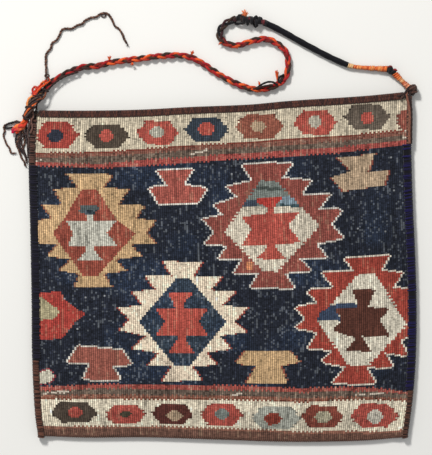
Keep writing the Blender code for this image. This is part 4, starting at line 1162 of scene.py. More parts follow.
TOP_HEXAGONS = (
    ((36, 78, 121.5, 148.5), dye("a3463d"), (47.5, 63, 130, 142), dye("2e323e")),
    ((85, 129, 124.3, 148), CHARCOAL, (100, 113, 130, 141.5), RED),
    ((137.6, 178.4, 121, 144.5), RED, (150, 164, 126.5, 137.7), dye("a9a596")),
    ((185, 228, 118, 141.5), dye("363f49"), (199, 214, 122, 135.7), RED),
    ((235.6, 283.6, 114.4, 138.6), dye("8f5545"), (251.6, 265, 121, 132), TAN),
    ((294, 336.5, 110.5, 134.7), RED, (309, 320.5, 115, 128), dye("b5ad9c")),
    ((344.7, 390.2, 104.4, 129.6), dye("655a4f"), (360.7, 373.8, 112.5, 123.6), RED),
    ((397, 420, 109.5, 130), dye("8c5044"), (0, 1, 0, 1), RED),
)
BOTTOM_HEXAGONS = (
    ((51, 97.3, 402, 423), CHARCOAL, (68.4, 81.9, 407.5, 418), RED),
    ((106, 145, 404.6, 424.4), RED, (120, 131, 411, 417), dye("4a4436")),
    ((151.7, 193, 403.7, 424.4), PLUM, (167, 182, 411, 421), TAN),
    ((200.3, 242.2, 404.2, 425.8), RED, (215.3, 228.7, 408.5, 419.6), SLATE),
    ((252, 300, 406.6, 430), dye("a9aa9e"), (264.4, 281.2, 412.8, 425.3), dye("8c4033")),
    ((301.5, 343.4, 405.6, 428.2), dye("88473a"), (315.4, 331.3, 410.9, 423.4), dye("b4ac92")),
    ((350.6, 398.3, 403.7, 427.7), RED, (367.9, 382.4, 409.9, 423.9), dye("cfc8b8")),
)
TAN_MEDALLION = (
    (67.4, 174.3), (112.4, 174.3), (102.8, 188), (129, 188.8), (117.8, 204.8), (145, 205.3), (134.7, 219),
    (155.6, 220), (146, 233.4), (155.6, 243), (130.4, 245), (141.5, 256), (114.9, 259.6), (126, 270.8),
    (102.8, 274), (112, 287.7), (75.6, 287.7), (79.5, 274), (59.6, 270.8), (71.3, 259.6), (47, 256),
    (58, 245), (34, 243), (34, 220), (52.8, 219), (42.7, 205.3), (62, 204.8), (54.8, 188.8), (79, 188),
)
BROWN_MEDALLION = (
    (241.4, 164), (292.4, 163), (281.6, 178), (310.8, 180.6), (301, 194.7), (329.7, 194.7), (318.5, 209.2),
    (342.8, 209.7), (331, 224.2), (343.3, 237.8), (316, 244), (326.8, 257.7), (298.7, 258.6), (311.3, 270.3),
    (283.6, 273.2), (294.3, 287.7), (249.7, 288.2), (258.9, 273.2), (233.7, 273.2), (242.9, 258.6),
    (218.2, 258.6), (228.3, 245.5), (204.6, 243.6), (214.8, 232), (202.6, 219), (224, 215), (213.8, 205.3),
    (237.5, 197), (226.9, 186.4), (253.5, 180.6),
)
IVORY_MEDALLION = (
    (163, 261.5), (202, 261.5), (193.4, 276), (221.5, 276.6), (210.9, 290), (235.6, 291.6), (222, 305),
    (246.6, 308), (234.5, 321.8), (246.6, 332), (220, 336), (231.2, 348.8), (206, 353), (216.7, 364.7),
    (192.2, 366.6), (202.3, 381), (162.3, 381), (171.9, 366.6), (148.3, 364.7), (160, 353), (132.4, 348.8),
    (146, 336), (119.4, 330), (130, 319.4), (118, 308), (143, 305), (132, 291), (156, 290), (145.5, 275),
    (172.6, 276),
)
RED_MEDALLION = (
    (343.7, 258), (389.3, 255.7), (380.6, 270.7), (402.9, 272.7), (393.2, 287.7), (420, 290), (420, 334),
    (400.2, 340), (408.4, 356), (384.3, 353), (392.5, 366.6), (366.5, 367.6), (375.6, 383.5), (331.8, 383.5),
    (345.8, 367), (321.2, 361.8), (332.8, 350.2), (307.7, 347.8), (317.9, 332.4), (294.7, 327.6),
    (305.3, 319), (295.7, 307.4), (318.5, 303.0), (306.4, 290.6), (333.6, 287.7), (322.9, 272.7),
    (354.4, 270.7),
)
TAN_INNER = (
    (81.4, 189.8), (97, 189.8), (116.3, 219), (135.7, 233.4), (97.9, 275.6), (82.9, 275.6), (52.8, 233.4),
    (64, 219),
)
BROWN_INNER = (
    (260.3, 180.6), (275.8, 180.6), (302, 208), (320, 225.7), (277, 271.7), (264, 271.7), (224.5, 232.5),
    (241, 208),
)
IVORY_INNER = ((176, 278.5), (189.6, 278.5), (226.3, 321.8), (190, 366), (174.8, 366), (139, 321.8))
RED_INNER = ((357.8, 274), (375.2, 274), (407.4, 324.7), (368, 365.6), (348.6, 365.6), (316.9, 321.3))
TAN_FIGURE = (
    (86.8, 214), (94, 214), (94, 220.3), (116.8, 220.3), (107, 232.5), (117.3, 245.5), (94.5, 246),
    (94.5, 250), (102.8, 260.6), (77.5, 260.6), (86.3, 250), (86.3, 246), (67.9, 245.5), (73.2, 232.5),
    (65.9, 220.3), (86.8, 220.3),
)
BROWN_FIGURE = (
    (257, 197), (282.6, 197), (274, 207), (274, 213), (299.6, 212), (288, 225.7), (300.6, 242.2), (274, 245),
    (278.7, 250.4), (286.5, 259), (256, 259), (265, 250.4), (267, 245), (242.4, 245), (251.6, 229.5),
    (241.4, 217), (267, 213), (267, 207),
)
IVORY_FIGURE = (
    (167.7, 292.6), (193.4, 292.6), (183, 304), (184, 308.8), (208, 308.8), (198.4, 321.3), (208, 335),
    (185.4, 336), (185.4, 340), (195.5, 353.6), (168, 353.6), (177.2, 340), (177.2, 336), (156.5, 335),
    (164.7, 321.3), (155.6, 308.8), (175, 308.8), (174, 304),
)
RED_FIGURE = (
    (352, 289.7), (375.7, 289.3), (367.7, 307.2), (390.4, 308.5), (379.6, 319.5), (386.6, 329.6),
    (389.6, 336.4), (361.9, 336.4), (371.4, 351.4), (344.6, 351.4), (356.2, 338), (352.5, 337), (332, 330.6),
    (341.3, 320.6), (341.3, 317.8), (335.4, 311.8), (336.4, 308.3), (357.6, 306.5), (357.6, 302.8),
)
# Old mends, each a row of pale thread: from x to x and y to y on the chart
MENDED_SPOTS = (
    ((32.0, 41.5), (163.5, 158.5)), ((191.0, 206.5), (154.6, 149.8)), ((402.5, 409.5), (131.0, 130.0)),
    ((402.0, 408.5), (138.0, 137.0)), ((42.0, 70.0), (393.6, 391.6)), ((231.5, 242.5), (396.0, 392.2)),
    ((355.0, 383.5), (394.6, 393.2)),
)
FLYING_MOTIFS = {
    "upper_left": ((157, 170), (192.5, 170), (183.3, 185.4), (207, 188), (197.3, 203.4), (159, 203.4),
                   (148.8, 188), (167.7, 185.4)),
    "upper_right": ((338, 158), (375, 153.5), (367.5, 171.4), (389.8, 169.4), (383.5, 185.4), (343.7, 191.3),
                    (330.7, 177.7), (351, 171.4)),
    "lower_left": ((78.4, 346), (122.3, 350.2), (131.2, 364.4), (112.4, 366), (120.6, 380.2), (83.6, 379.2),
                   (90.6, 362.9), (67.4, 362)),
    "lower_right": ((246.4, 350.4), (288.8, 350.4), (300, 362), (280.6, 366.4), (287.4, 383.6),
                    (246.4, 383.6), (255.6, 366.4), (235.4, 363.6)),
}


def inside(outline, x, y):
    """Which of the chart points lie inside the outline."""
    within = np.zeros(np.shape(x), bool)
    for (x0, y0), (x1, y1) in zip(outline, (*outline[1:], outline[0])):
        if y0 == y1:
            continue
        crosses = (y0 > y) != (y1 > y)
        within ^= crosses & (x < (x1 - x0) * (y - y0) / (y1 - y0) + x0)
    return within


def grown(cells, across=1, along=1):
    """The cells next to a patch of cells, sideways and along the ribs."""
    wide = cells.copy()
    for _ in range(across):
        wide[:, 1:] |= wide[:, :-1].copy()
        wide[:, :-1] |= wide[:, 1:].copy()
    tall = cells.copy()
    for _ in range(along):
        tall[1:, :] |= tall[:-1, :].copy()
        tall[:-1, :] |= tall[1:, :].copy()
    return (wide | tall) & ~cells


def cell_points(rows, columns):
    """Chart points at the middles of the cells of the front, as two arrays of rows by ribs."""
    u = (np.arange(columns) + 0.5) / columns
    grid = [panel_point(u, (r + 0.5) / rows) for r in range(rows)]
    return np.array([x for x, _ in grid]), np.array([y for _, y in grid])


def soft_patches(draw, rows, columns, count):
    """Smooth random patches over the cloth, about count of them down its length, from -1 to 1."""
    knots = draw.uniform(-1, 1, (count + 2, count + 2))
    r, c = np.linspace(0, count + 0.999, rows), np.linspace(0, count + 0.999, columns)
    r0, c0 = r.astype(int), c.astype(int)
    fr, fc = smooth(r - r0)[:, None], smooth(c - c0)[None, :]
    top = knots[r0][:, c0] * (1 - fc) + knots[r0][:, c0 + 1] * fc
    low = knots[r0 + 1][:, c0] * (1 - fc) + knots[r0 + 1][:, c0 + 1] * fc
    return top * (1 - fr) + low * fr


def drawn_along_ribs(draw, rows, columns, hold):
    """Noise of spread one that changes freely from rib to rib and slowly along each rib."""
    noise = draw.normal(0, 1, (rows, columns))
    for r in range(1, rows):
        noise[r] = hold * noise[r - 1] + math.sqrt(1 - hold**2) * noise[r]
    return noise


# Patches of other colours in the brown medallion's heart, where it is not covered, and over the pattern
HEART_PATCHES = (
    (((236, 176), (306, 176), (306, 206.8), (236, 206.8)), SLATE),
    (((236, 206.8), (236, 200.6), (256.6, 200.6), (256.6, 206.8)), dye("434d5b")),
    (((279.5, 197), (306, 197), (306, 206.8), (279.5, 206.8)), SKY),
    (((279.5, 203.8), (306, 203.8), (306, 206.8), (279.5, 206.8)), dye("3f545a")),
)
SMALL_PATCHES = (
    (((80, 206.5), (86, 204.5), (97, 205), (99.5, 209), (95, 212), (94, 214.5), (87, 214.5), (79, 212)),
     dye("565f60")),
    (((84, 210.4), (97, 210.4), (95.4, 214.5), (86, 214.5)), dye("2f393e")),
    (((257.5, 186.8), (279.2, 186.8), (281.2, 190.2), (255.4, 190.2)), dye("4d5450")),
    (((256.2, 199), (282.6, 196.4), (281.4, 199.8), (273.6, 207.4), (267.4, 207.4), (257.4, 202.6)),
     dye("b04038")),
    (((246.8, 261.5), (252.6, 261.5), (252.6, 269.3), (246.8, 269.3)), dye("c7805a")),
    (((315.9, 320.6), (320.4, 312.5), (332, 304.9), (342.7, 303.1), (357.6, 303.6), (357.6, 308),
      (336.4, 308.5), (335.5, 312.5), (341.3, 317.9), (340.9, 320.8)), dye("3d4a60")),
    (((30, 293), (60.9, 291.7), (64.6, 299.8), (69, 302.7), (83.7, 313), (85.1, 315.2), (76.3, 321),
      (64.6, 335.7), (60.9, 338.7), (30, 341.2)), dye("a8423a")),
    (((30, 298.3), (42.2, 297.6), (49.2, 304.2), (58, 308.6), (59.1, 312.3), (56.5, 316.7), (52.9, 320),
      (30, 320.3)), dye("aaa07f")),
)
PALE_TOOTH = (
    (30, 373.4), (38.9, 373.1), (49.2, 369.1), (51.4, 372.4), (54.3, 375.6), (52.1, 379), (50.7, 382.6),
    (30, 386),
)
STRIPE_TEETH = (0.45, -0.35)
SWAY, SWAY_HEIGHT = 0.9, 2.4
THREAD_RELIEF = 0.00018


def woven_colours():
    """A colour for every cell of the front and how far it stands up, as arrays of rows by ribs."""
    x, y = cell_points(FRONT_ROWS, RIBS)
    colour = np.empty((FRONT_ROWS, RIBS, 3))
    colour[:] = NAVY
    raised = np.zeros((FRONT_ROWS, RIBS))

    def paint(cells, dyed):
        colour[cells] = dyed

    tooth = np.where(np.arange(RIBS) % 2 == 0, *STRIPE_TEETH)[None, :]
    head = {name: np.interp(x, TOP_STRIPES["x"], TOP_STRIPES[name]) for name in TOP_STRIPES}
    paint(y < head["navy"] + tooth, dye("a8514a"))
    paint(y < head["red"] + tooth, GREY_BROWN)
    paint(y < head["grey"] + tooth, dye("86584b"))
    paint(y < head["brick"] + 1.5 + tooth, dye("7c3d31"))
    paint(y < head["brick"] + tooth, CREAM)
    foot = {name: np.interp(x, LOW_STRIPES["x"], LOW_STRIPES[name]) for name in LOW_STRIPES}
    paint(y > foot["red"] + tooth, dye("a8554b"))
    paint(y > foot["grey"] + tooth, GREY_BROWN)
    paint(y > foot["brick"] + tooth, dye("93604f"))
    paint(y > foot["cream"] - 1.2 + tooth, dye("7c4434"))
    paint(y > foot["cream"] + tooth, dye("e2d6be"))
    paint(y > foot["band"] + tooth, dye("936554"))
    paint(y > foot["band"] + 2.6, BAND_BROWN)
    draw = np.random.default_rng(5)
    for (box, dyed, (l, r, t, b), heart) in TOP_HEXAGONS + BOTTOM_HEXAGONS:
        cells = inside(hexagon(*box), x, y)
        paint(cells, dyed)
        paint(inside(hexagon(l - 1, r + 1, t, b, cut=0.2), x, y) & cells, heart)
        paint(grown(cells, across=1, along=0) & (draw.random(x.shape) < 0.3), tuple(0.5 * c for c in dyed))
    threads = np.zeros((FRONT_ROWS, RIBS), bool)
    rows_a_step = round(SWAY_HEIGHT * FRONT_ROWS / CHART_HEIGHT)
    sway = np.where(np.arange(FRONT_ROWS) // rows_a_step % 2 == 0, SWAY, -SWAY)[:, None]
    for outline, dyed, edge in (
        (TAN_MEDALLION, OCHRE, dye("8a5a44")),
        (BROWN_MEDALLION, MAROON, dye("d2cdc2")),
        (IVORY_MEDALLION, IVORY, dye("96483f")),
        (RED_MEDALLION, dye("a4473b"), dye("ddd3c2")),
        (FLYING_MOTIFS["upper_left"], dye("a85a4f"), dye("dcd6ca")),
        (FLYING_MOTIFS["upper_right"], TAN, dye("86483c")),
        (FLYING_MOTIFS["lower_left"], dye("9b5b4e"), dye("cfc8bb")),
        (FLYING_MOTIFS["lower_right"], OCHRE, dye("8e5141")),
    ):
        cells = inside(outline, x, y)
        white = edge[2] > 0.3
        rim = grown(cells, along=1 if white else 0)
        paint(rim & (draw.random(x.shape) < (1.0 if white else 0.8)), edge)
        threads |= rim
        paint(cells, dyed)
    for outline, dyed in (
        (TAN_INNER, dye("964d3f")), (BROWN_INNER, dye("d3c8b4")), (IVORY_INNER, TEAL),
        (RED_INNER, dye("dfd6c2")),
        (TAN_FIGURE, OFF_WHITE), (BROWN_FIGURE, dye("ae5247")), (IVORY_FIGURE, dye("b85549")),
        (RED_FIGURE, CHESTNUT),
    ):
        cells = inside(outline, x + sway * (outline in (BROWN_INNER, RED_INNER)), y)
        paint(cells, dyed)
        if outline is BROWN_INNER:
            brown_heart = cells
    for patch, dyed in HEART_PATCHES:
        paint(inside(patch, x, y) & brown_heart, dyed)
    for patch, dyed in SMALL_PATCHES:
        paint(inside(patch, x, y), dyed)
    patch = inside(PALE_TOOTH, x, y)
    paint(grown(patch) & (draw.random(x.shape) < 0.7), dye("8a3a42"))
    paint(patch, dye("c6c0ad"))
    rows, ribs = y.shape
    streak = drawn_along_ribs(draw, rows, ribs, 0.86)
    short = drawn_along_ribs(draw, rows, ribs, 0.55)
    field = (y > head["navy"]) & (y < foot["red"]) & (colour.sum(axis=2) < 0.16)
    blue = np.clip((soft_patches(draw, rows, ribs, 9) - 0.15) * 1.1, 0, 0.55)[..., None] * field[..., None]
    colour = colour * (1 - blue) + np.array(dye("2b384d")) * blue
    colour[field] *= np.exp(0.24 * draw.normal(0, 1, y.shape))[field][:, None]
    lit = field & (short > 1.15)
    colour[lit] = colour[lit] * 0.7 + np.array(dye("858b90")) * 0.24
    bright = field & (draw.random(y.shape) < 0.0016)
    colour[bright] = np.array(dye("8f9295"))
    warm = (colour[..., 0] > 1.7 * colour[..., 2]) & (colour[..., 0] > 0.12)
    bare = warm & (streak > 1.25)
    colour[bare] = colour[bare] * 0.74 + np.array(dye("b59a7e")) * 0.18
    stripes = ((y > head["brick"] + 2) & (y < head["navy"])) | ((y > foot["red"]) & (y < foot["cream"]))
    wear_and_shade = stripes & (short > 1.2)
    colour[wear_and_shade] = colour[wear_and_shade] * 0.62 + np.array(dye("b3a08c")) * 0.24
    grimy = stripes & (short < -1.1)
    colour[grimy] *= 0.62
    pale = colour.sum(axis=2) > 0.9
    soiled = pale & (short < -1.4)
    colour[soiled] *= 0.76
    colour *= np.exp(0.085 * streak + 0.125 * short + 0.07 * draw.normal(0, 1, (1, ribs)))[..., None]
    colour *= (1 + 0.07 * soft_patches(draw, rows, ribs, 6))[..., None]
    for (x0, x1), (y0, y1) in MENDED_SPOTS:
        share = np.clip((x - x0) / (x1 - x0), 0, 1)
        near = (x > x0) & (x < x1) & (np.abs(y - y0 - (y1 - y0) * share) < 1.1)
        colour[near & (draw.random(y.shape) < 0.75)] = dye("cfc3b2")
    raised[threads] = THREAD_RELIEF
    return np.clip(colour, 0.004, 0.95), raised


def front_surface(x, y):
    """Height of the front's outer face, ripples and all."""
    return front_height(x, y) + ripple(x, y)


def make_cloth():
    """The whole folded strip as one mesh: front, fold and back outside, and the same way back inside."""
    colours, raised = woven_colours()
    columns = 2 * RIBS
    u = np.arange(columns + 1) / columns
    relief = np.where(np.arange(columns + 1) % 2 == 1, 0.5, -0.5) * RIB_RELIEF
    rows_front = np.arange(FRONT_ROWS + 1) / FRONT_ROWS
    rows_back = np.arange(BACK_ROWS + 1) / BACK_ROWS
    step_up = np.zeros((FRONT_ROWS + 1, columns + 1))
    cell_row = np.clip(np.arange(FRONT_ROWS + 1), 0, FRONT_ROWS - 1)
    crest = np.arange(1, columns, 2)
    step_up[:, crest] = np.maximum(raised[cell_row], raised[np.maximum(cell_row - 1, 0)])
    step_up[:, crest - 1] = np.maximum(step_up[:, crest - 1], step_up[:, crest] * 0.5)
    outer = []
    for r, v in enumerate(rows_front):
        x, y = panel_point(u, v)
        outer.append(metres(x, y, front_surface(x, y) + relief + step_up[r]))
    foot_x, foot_y = panel_point(u, 1.0)
    base = lift(foot_x, foot_y)
    gap = pocket(foot_x, foot_y)
    inner_fold = []
    for k in range(1, FOLD_ROWS + 1):
        angle = math.pi * (0.5 - k / (FOLD_ROWS + 1))
        for rows, radius in ((outer, CLOTH_THICKNESS + gap / 2 + relief), (inner_fold, gap / 2)):
            place = metres(foot_x, foot_y, base + CLOTH_THICKNESS + gap / 2)
            place[:, 1] -= radius * math.cos(angle)
            place[:, 2] += radius * math.sin(angle)
            rows.append(place)
    for v in rows_back[::-1]:
        x, y = panel_point(u, v)
        outer.append(metres(x, y, lift(x, y) + np.maximum(-relief, 0)))
    inner = []
    for v in rows_back:
        x, y = panel_point(u, v)
        inner.append(metres(x, y, front_surface(x, y) - CLOTH_THICKNESS))
    inner += inner_fold
    for v in rows_back[::-1]:
        x, y = panel_point(u, v)
        inner.append(metres(x, y, lift(x, y) + CLOTH_THICKNESS))
    width = columns + 1
    verts = np.concatenate(outer + inner)
    first_inner = len(outer) * width
    faces, paint = [], []
    back_stripe = np.random.default_rng(12).uniform(0.85, 1.15, (len(outer) + len(inner), RIBS))
    for r in range(len(outer) - 1):
        for i in range(columns):
            a = r * width + i
            faces.append((a, a + 1, a + width + 1, a + width))
            paint.append(
                colours[r, i // 2] if r < FRONT_ROWS else [c * back_stripe[r, i // 2] for c in BAND_BROWN],
            )
    for r in range(len(inner) - 1):
        for i in range(columns):
            a = first_inner + r * width + i
            faces.append((a, a + width, a + width + 1, a + 1))
            # The inner faces take the painted shade colour.
            paint.append(tuple(c * back_stripe[r, i // 2] for c in INSIDE_SHADE))
    last_out, last_in = (len(outer) - 1) * width, first_inner + (len(inner) - 1) * width
    for i in range(columns):
        faces.append((i, first_inner + i, first_inner + i + 1, i + 1))
        faces.append((last_out + i, last_out + i + 1, last_in + i + 1, last_in + i))
        paint += [BAND_BROWN, BAND_BROWN]
    share = FRONT_ROWS // BACK_ROWS
    spans = [(share * j, share * (j + 1), j) for j in range(BACK_ROWS)]
    spans += [(FRONT_ROWS + k, FRONT_ROWS + k + 1, BACK_ROWS + k) for k in range(len(outer) - 1 - FRONT_ROWS)]
    for side in (0, columns):
        for start, end, j in spans:
            ring = [r * width + side for r in range(start, end + 1)]
            ring += [first_inner + (j + 1) * width + side, first_inner + j * width + side]
            faces.append(tuple(ring if side == 0 else reversed(ring)))
            paint.append(BAND_BROWN)
    mesh = bpy.data.meshes.new("kilim_cloth")
    mesh.from_pydata(verts.tolist(), [], faces)
    dyed = mesh.attributes.new("dyed", "FLOAT_COLOR", "FACE")
    dyed.data.foreach_set("color", [value for c in paint for value in (*c, 1.0)])
    places = np.zeros((len(verts), 2))
    columns_of = np.tile(np.arange(width), len(outer) + len(inner))
    rows_of = np.repeat(np.concatenate([
        rows_front * FRONT_ROWS, FRONT_ROWS + np.arange(1, FOLD_ROWS + 1),
        FRONT_ROWS + FOLD_ROWS + 1 + np.arange(BACK_ROWS + 1) * share,
        np.arange(BACK_ROWS + 1) * share, FRONT_ROWS + np.arange(1, FOLD_ROWS + 1),
        FRONT_ROWS + FOLD_ROWS + 1 + np.arange(BACK_ROWS + 1) * share,
    ]), width)
    places[:, 0] = columns_of / 2.0
    places[:, 1] = rows_of
    layer = mesh.uv_layers.new(name="ribs_and_wefts")
    corner = np.empty(len(mesh.loops), int)
    mesh.loops.foreach_get("vertex_index", corner)
    layer.data.foreach_set("uv", places[corner].ravel())
    mesh.shade_smooth()
    turned_out(mesh)
    return placed("kilim_cloth", mesh)


FIBRE_STRETCH = (260.0, 900.0, 400.0)


def tapestry_wool():
    """Weft-faced wool: the dyed cells with wefts as fine beads, and painted shade in the grooves between ribs
    and between the beads.
    """
    made, shader = new_material(
        "tapestry_wool", {"Roughness": 0.94, "Specular IOR Level": 0.2, "Sheen Weight": 0.06},
    )
    tree = made.node_tree
    dyed = add_node(tree, "ShaderNodeAttribute", attribute_name="dyed").outputs["Color"]
    uv = add_node(tree, "ShaderNodeUVMap", uv_map="ribs_and_wefts").outputs["UV"]
    cell = add_node(tree, "ShaderNodeSeparateXYZ", {0: uv}).outputs
    across = calculated(tree, "FRACT", cell["X"])
    crest = calculated(tree, "SINE", calculated(tree, "MULTIPLY", across, math.pi))
    odd = calculated(tree, "MODULO", calculated(tree, "FLOOR", cell["X"]), 2.0)
    weft = calculated(
        tree, "ADD", calculated(tree, "MULTIPLY", cell["Y"], 2.0), calculated(tree, "MULTIPLY", odd, 0.5),
    )
    wave = calculated(tree, "SINE", calculated(tree, "MULTIPLY", weft, math.pi))
    bead = calculated(tree, "ABSOLUTE", wave)
    # Painted shade: darker in the grooves between ribs and lighter on their crests.
    groove = rescaled(tree, crest, (0.0, 0.85), (0.26, 1.14))
    place = add_node(tree, "ShaderNodeTexCoord").outputs["Object"]
    stretched = add_node(tree, "ShaderNodeMapping", {"Vector": place, "Scale": FIBRE_STRETCH}).outputs[
        "Vector"
    ]
    fibre = add_node(
        tree, "ShaderNodeTexNoise", {"Vector": stretched, "Scale": 1.0, "Detail": 3.0},
    ).outputs["Fac"]
    # The painted groove shade, times a random tone along the fibres.
    wear_and_shade = calculated(tree, "MULTIPLY", groove, rescaled(tree, fibre, NOISE_SPREAD, (0.62, 1.38)))
    # Painted shade between the weft beads as well.
    shade = calculated(tree, "MULTIPLY", wear_and_shade, rescaled(tree, bead, (0.0, 1.0), (0.80, 1.05)))
    tree.links.new(darkened(tree, "shaded", dyed, shade), shader.inputs["Base Color"])
    beads = calculated(tree, "MULTIPLY", calculated(tree, "MULTIPLY", bead, crest), 0.7)
    height = calculated(tree, "ADD", beads, calculated(tree, "MULTIPLY", fibre, 0.6))
    bump = add_node(tree, "ShaderNodeBump", {"Height": height, "Strength": 0.7, "Distance": BUMP_HEIGHT})
    tree.links.new(bump.outputs["Normal"], shader.inputs["Normal"])
    return made


cloth = make_cloth()
cloth.data.materials.append(tapestry_wool())
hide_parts("kilim_body")
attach(cloth, "root")

# The side edges are sewn together and overcast with thick wool in three stretches a side: brown,
# indigo, brown. Every turn is a separate yarn that goes over both edges and back through the cloth.
SEAM_BREAKS = {"left": (110.5, 165.0, 361.0, 438.0), "right": (94.8, 144.5, 391.0, 438.0)}
SEAM_PITCH = 0.00135
SEAM_YARN = 0.00078


def swept(name, rings, material, colour):
    """A closed body through equal rings of points, with flat ends."""
    shape = Shape()
    count = len(rings[0])
    for ring in rings:
        shape.verts += [Vector(p) for p in ring]
        shape.colours += [colour] * count
    for r in range(len(rings) - 1):
        for i in range(count):
            j = (i + 1) % count
            shape.faces.append((r * count + i, r * count + j, (r + 1) * count + j, (r + 1) * count + i))
    shape.faces.append(tuple(range(count - 1, -1, -1)))
    shape.faces.append(tuple((len(rings) - 1) * count + i for i in range(count)))
    made = shape.object(name, material)
    turned_out(made.data)
    return made


def seam_section(side, y, lip):
    """Chart section of the overcasting at one height: (metres in from the outer side, height) pairs."""
    sign = 1 if side is left_x else -1
    edge_x = side(y) + sign * SEAM_BEAD / UNIT_X
    bottom = float(lift(edge_x, y))
    low, high = bottom - CLEARANCE, bottom + 2 * CLOTH_THICKNESS + SIDE_GAP + CLEARANCE
    top, base = high + SEAM_WALL, low - SEAM_WALL
    middle, half = (top + base) / 2, (top - base) / 2
    slot = SEAM_BEAD - CLEARANCE
    reach = SEAM_BEAD + lip
    section = [
        (reach, base), (reach, low), (slot, low), (slot, high), (reach, high), (reach - 0.0006, top - 0.0003),
        (SEAM_BEAD, top),
    ]
    for k in range(1, 6):
        angle = math.pi * (0.5 - k / 6)
        section.append((SEAM_BEAD * (1 - math.cos(angle)), middle + half * math.sin(angle)))
    section.append((SEAM_BEAD, base))
    return section, top, base, reach


def seam_x(side, y):
    """Chart x of the seam's outer side, held straight beside the fold."""
    fold_start = cloth_edges(1.0)[0 if side is left_x else 1][1]
    return float(side(min(y, fold_start)))


def side_seam(name, side, top_y, bottom_y, dark, light, lip, seed):
    """One stretch of seam between two chart heights: a wool core with turns of yarn over it."""
    gap = CLEARANCE / UNIT_X / 2
    sign = 1 if side is left_x else -1
    steps = max(8, int((bottom_y - top_y) / 5))
    heights = [top_y + gap + (bottom_y - top_y - 2 * gap) * k / steps for k in range(steps + 1)]
    rings = []
    for y in heights:
        section, _, _, _ = seam_section(side, y, lip)
        rings.append([lay(seam_x(side, y) + sign * across / UNIT_X, y, z) for across, z in section])
    core = swept(name + "_core", rings, SPUN_WOOL, tuple(c * 0.8 for c in dark))
    _, top, base, reach = seam_section(side, (top_y + bottom_y) / 2, lip)
    yarn = SEAM_YARN
    outline = []
    low, high = base + yarn * 1.1, top - yarn * 0.5
    middle, half = (low + high) / 2, (high - low) / 2
    for k in range(9):
        angle = math.pi * (0.5 + k / 8)
        outline.append(
            (SEAM_BEAD - (SEAM_BEAD - yarn * 0.4) * -math.cos(angle), middle + half * math.sin(angle)),
        )
    outline += [
        (SEAM_BEAD + lip * 0.5, low), (reach - yarn * 0.8, low + yarn * 0.2),
        (reach - yarn * 0.2, low + yarn * 1.6),
        (reach - yarn * 0.2, high - yarn * 1.6), (reach - yarn * 0.8, high - yarn * 0.2),
        (SEAM_BEAD + lip * 0.5, high),
    ]
    loop = stitch_loop([(sign * across, -z) for across, z in outline], yarn)
    path = [lay(seam_x(side, y), y, 0.0) for y in np.linspace(bottom_y - gap - 1.0, top_y + gap + 1.0, 80)]
    turns = laid_stitches(
        name, path, loop, SEAM_PITCH, 0.10 * sign, 0.11, seed, toned_wool(name + "_wool", dark, light),
    )
    bpy.data.objects.remove(loop, do_unlink=True)
    return joined(name, [turns, core])


# Each stretch's darkest and lightest wool, and how far its turns reach in over the cloth, in metres
SEAM_WOOLS = {
    "left_seam_top": (dye("1a0d0b"), dye("644338"), 0.0036),
    "left_seam_middle": (dye("070610"), dye("121026"), 0.0054),
    "left_seam_bottom": (dye("2e1914"), dye("6a4334"), 0.0036),
    "right_seam_top": (dye("3c221b"), dye("8c5d4a"), 0.0020),
    "right_seam_middle": (dye("030209"), dye("0f0746"), 0.0058),
    "right_seam_bottom": (dye("2a1611"), dye("5c3a2c"), 0.0028),
}
for number, (name, (dark, light, lip)) in enumerate(SEAM_WOOLS.items()):
    edge, _, part = name.partition("_seam_")
    breaks = SEAM_BREAKS[edge]
    at = ("top", "middle", "bottom").index(part)
    side = left_x if edge == "left" else right_x
    seam = side_seam(name, side, breaks[at], breaks[at + 1], dark, light, lip, 100 + number)
    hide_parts(name)
    seam.name = name + "_overcast"
    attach(seam, "root")

# The mouth: each panel's edge is rolled over and bound with brown wool, close turns over a core.
BINDING_PITCH = 0.0021
BINDING_YARN = 0.00066
BINDING_SLANT = 0.30
BINDING_INSET = 0.0155
# The roll's profile: metres down from its outer edge, and height as a share of half its thickness.
# It dips along its middle, where the two rolls of wool meet.
BINDING_ROLL = (
    (0.0005, 0.15), (0.0011, 0.62), (0.0020, 0.86), (0.0030, 0.86), (0.0038, 0.62), (0.0046, 0.84),
    (0.0056, 0.88), (0.0066, 0.72), (0.0072, 0.40),
)


def binding_section(x, front):
    """Section of the rolled edge at one chart x: (metres down from the outer edge, height) pairs."""
    edge_y = float(mouth_y(x)) + BINDING_BEAD / UNIT_X
    if front:
        inner = float(front_height(x, edge_y)) - CLOTH_THICKNESS
        face = float(front_height(x, edge_y)) + CLEARANCE
    else:
        inner = float(lift(x, edge_y)) + CLOTH_THICKNESS
        face = float(lift(x, edge_y)) - CLEARANCE
    sign = 1 if front else -1
    skin = face + sign * SEAM_WALL
    middle, half = (inner + skin) / 2, abs(skin - inner) / 2
    bead = BINDING_BEAD - CLEARANCE
    end = BINDING_BEAD + BINDING_LIP
    section = [
        (bead, inner), (bead, face), (end, face), (end - 0.0005, skin - sign * 0.0004), (end - 0.0012, skin),
        (BINDING_BEAD, skin),
    ]
    for k in range(1, 6):
        angle = math.pi * (0.5 - k / 6)
        section.append((BINDING_BEAD * (1 - math.cos(angle)), middle + sign * half * math.sin(angle)))
    return section, middle, half, sign


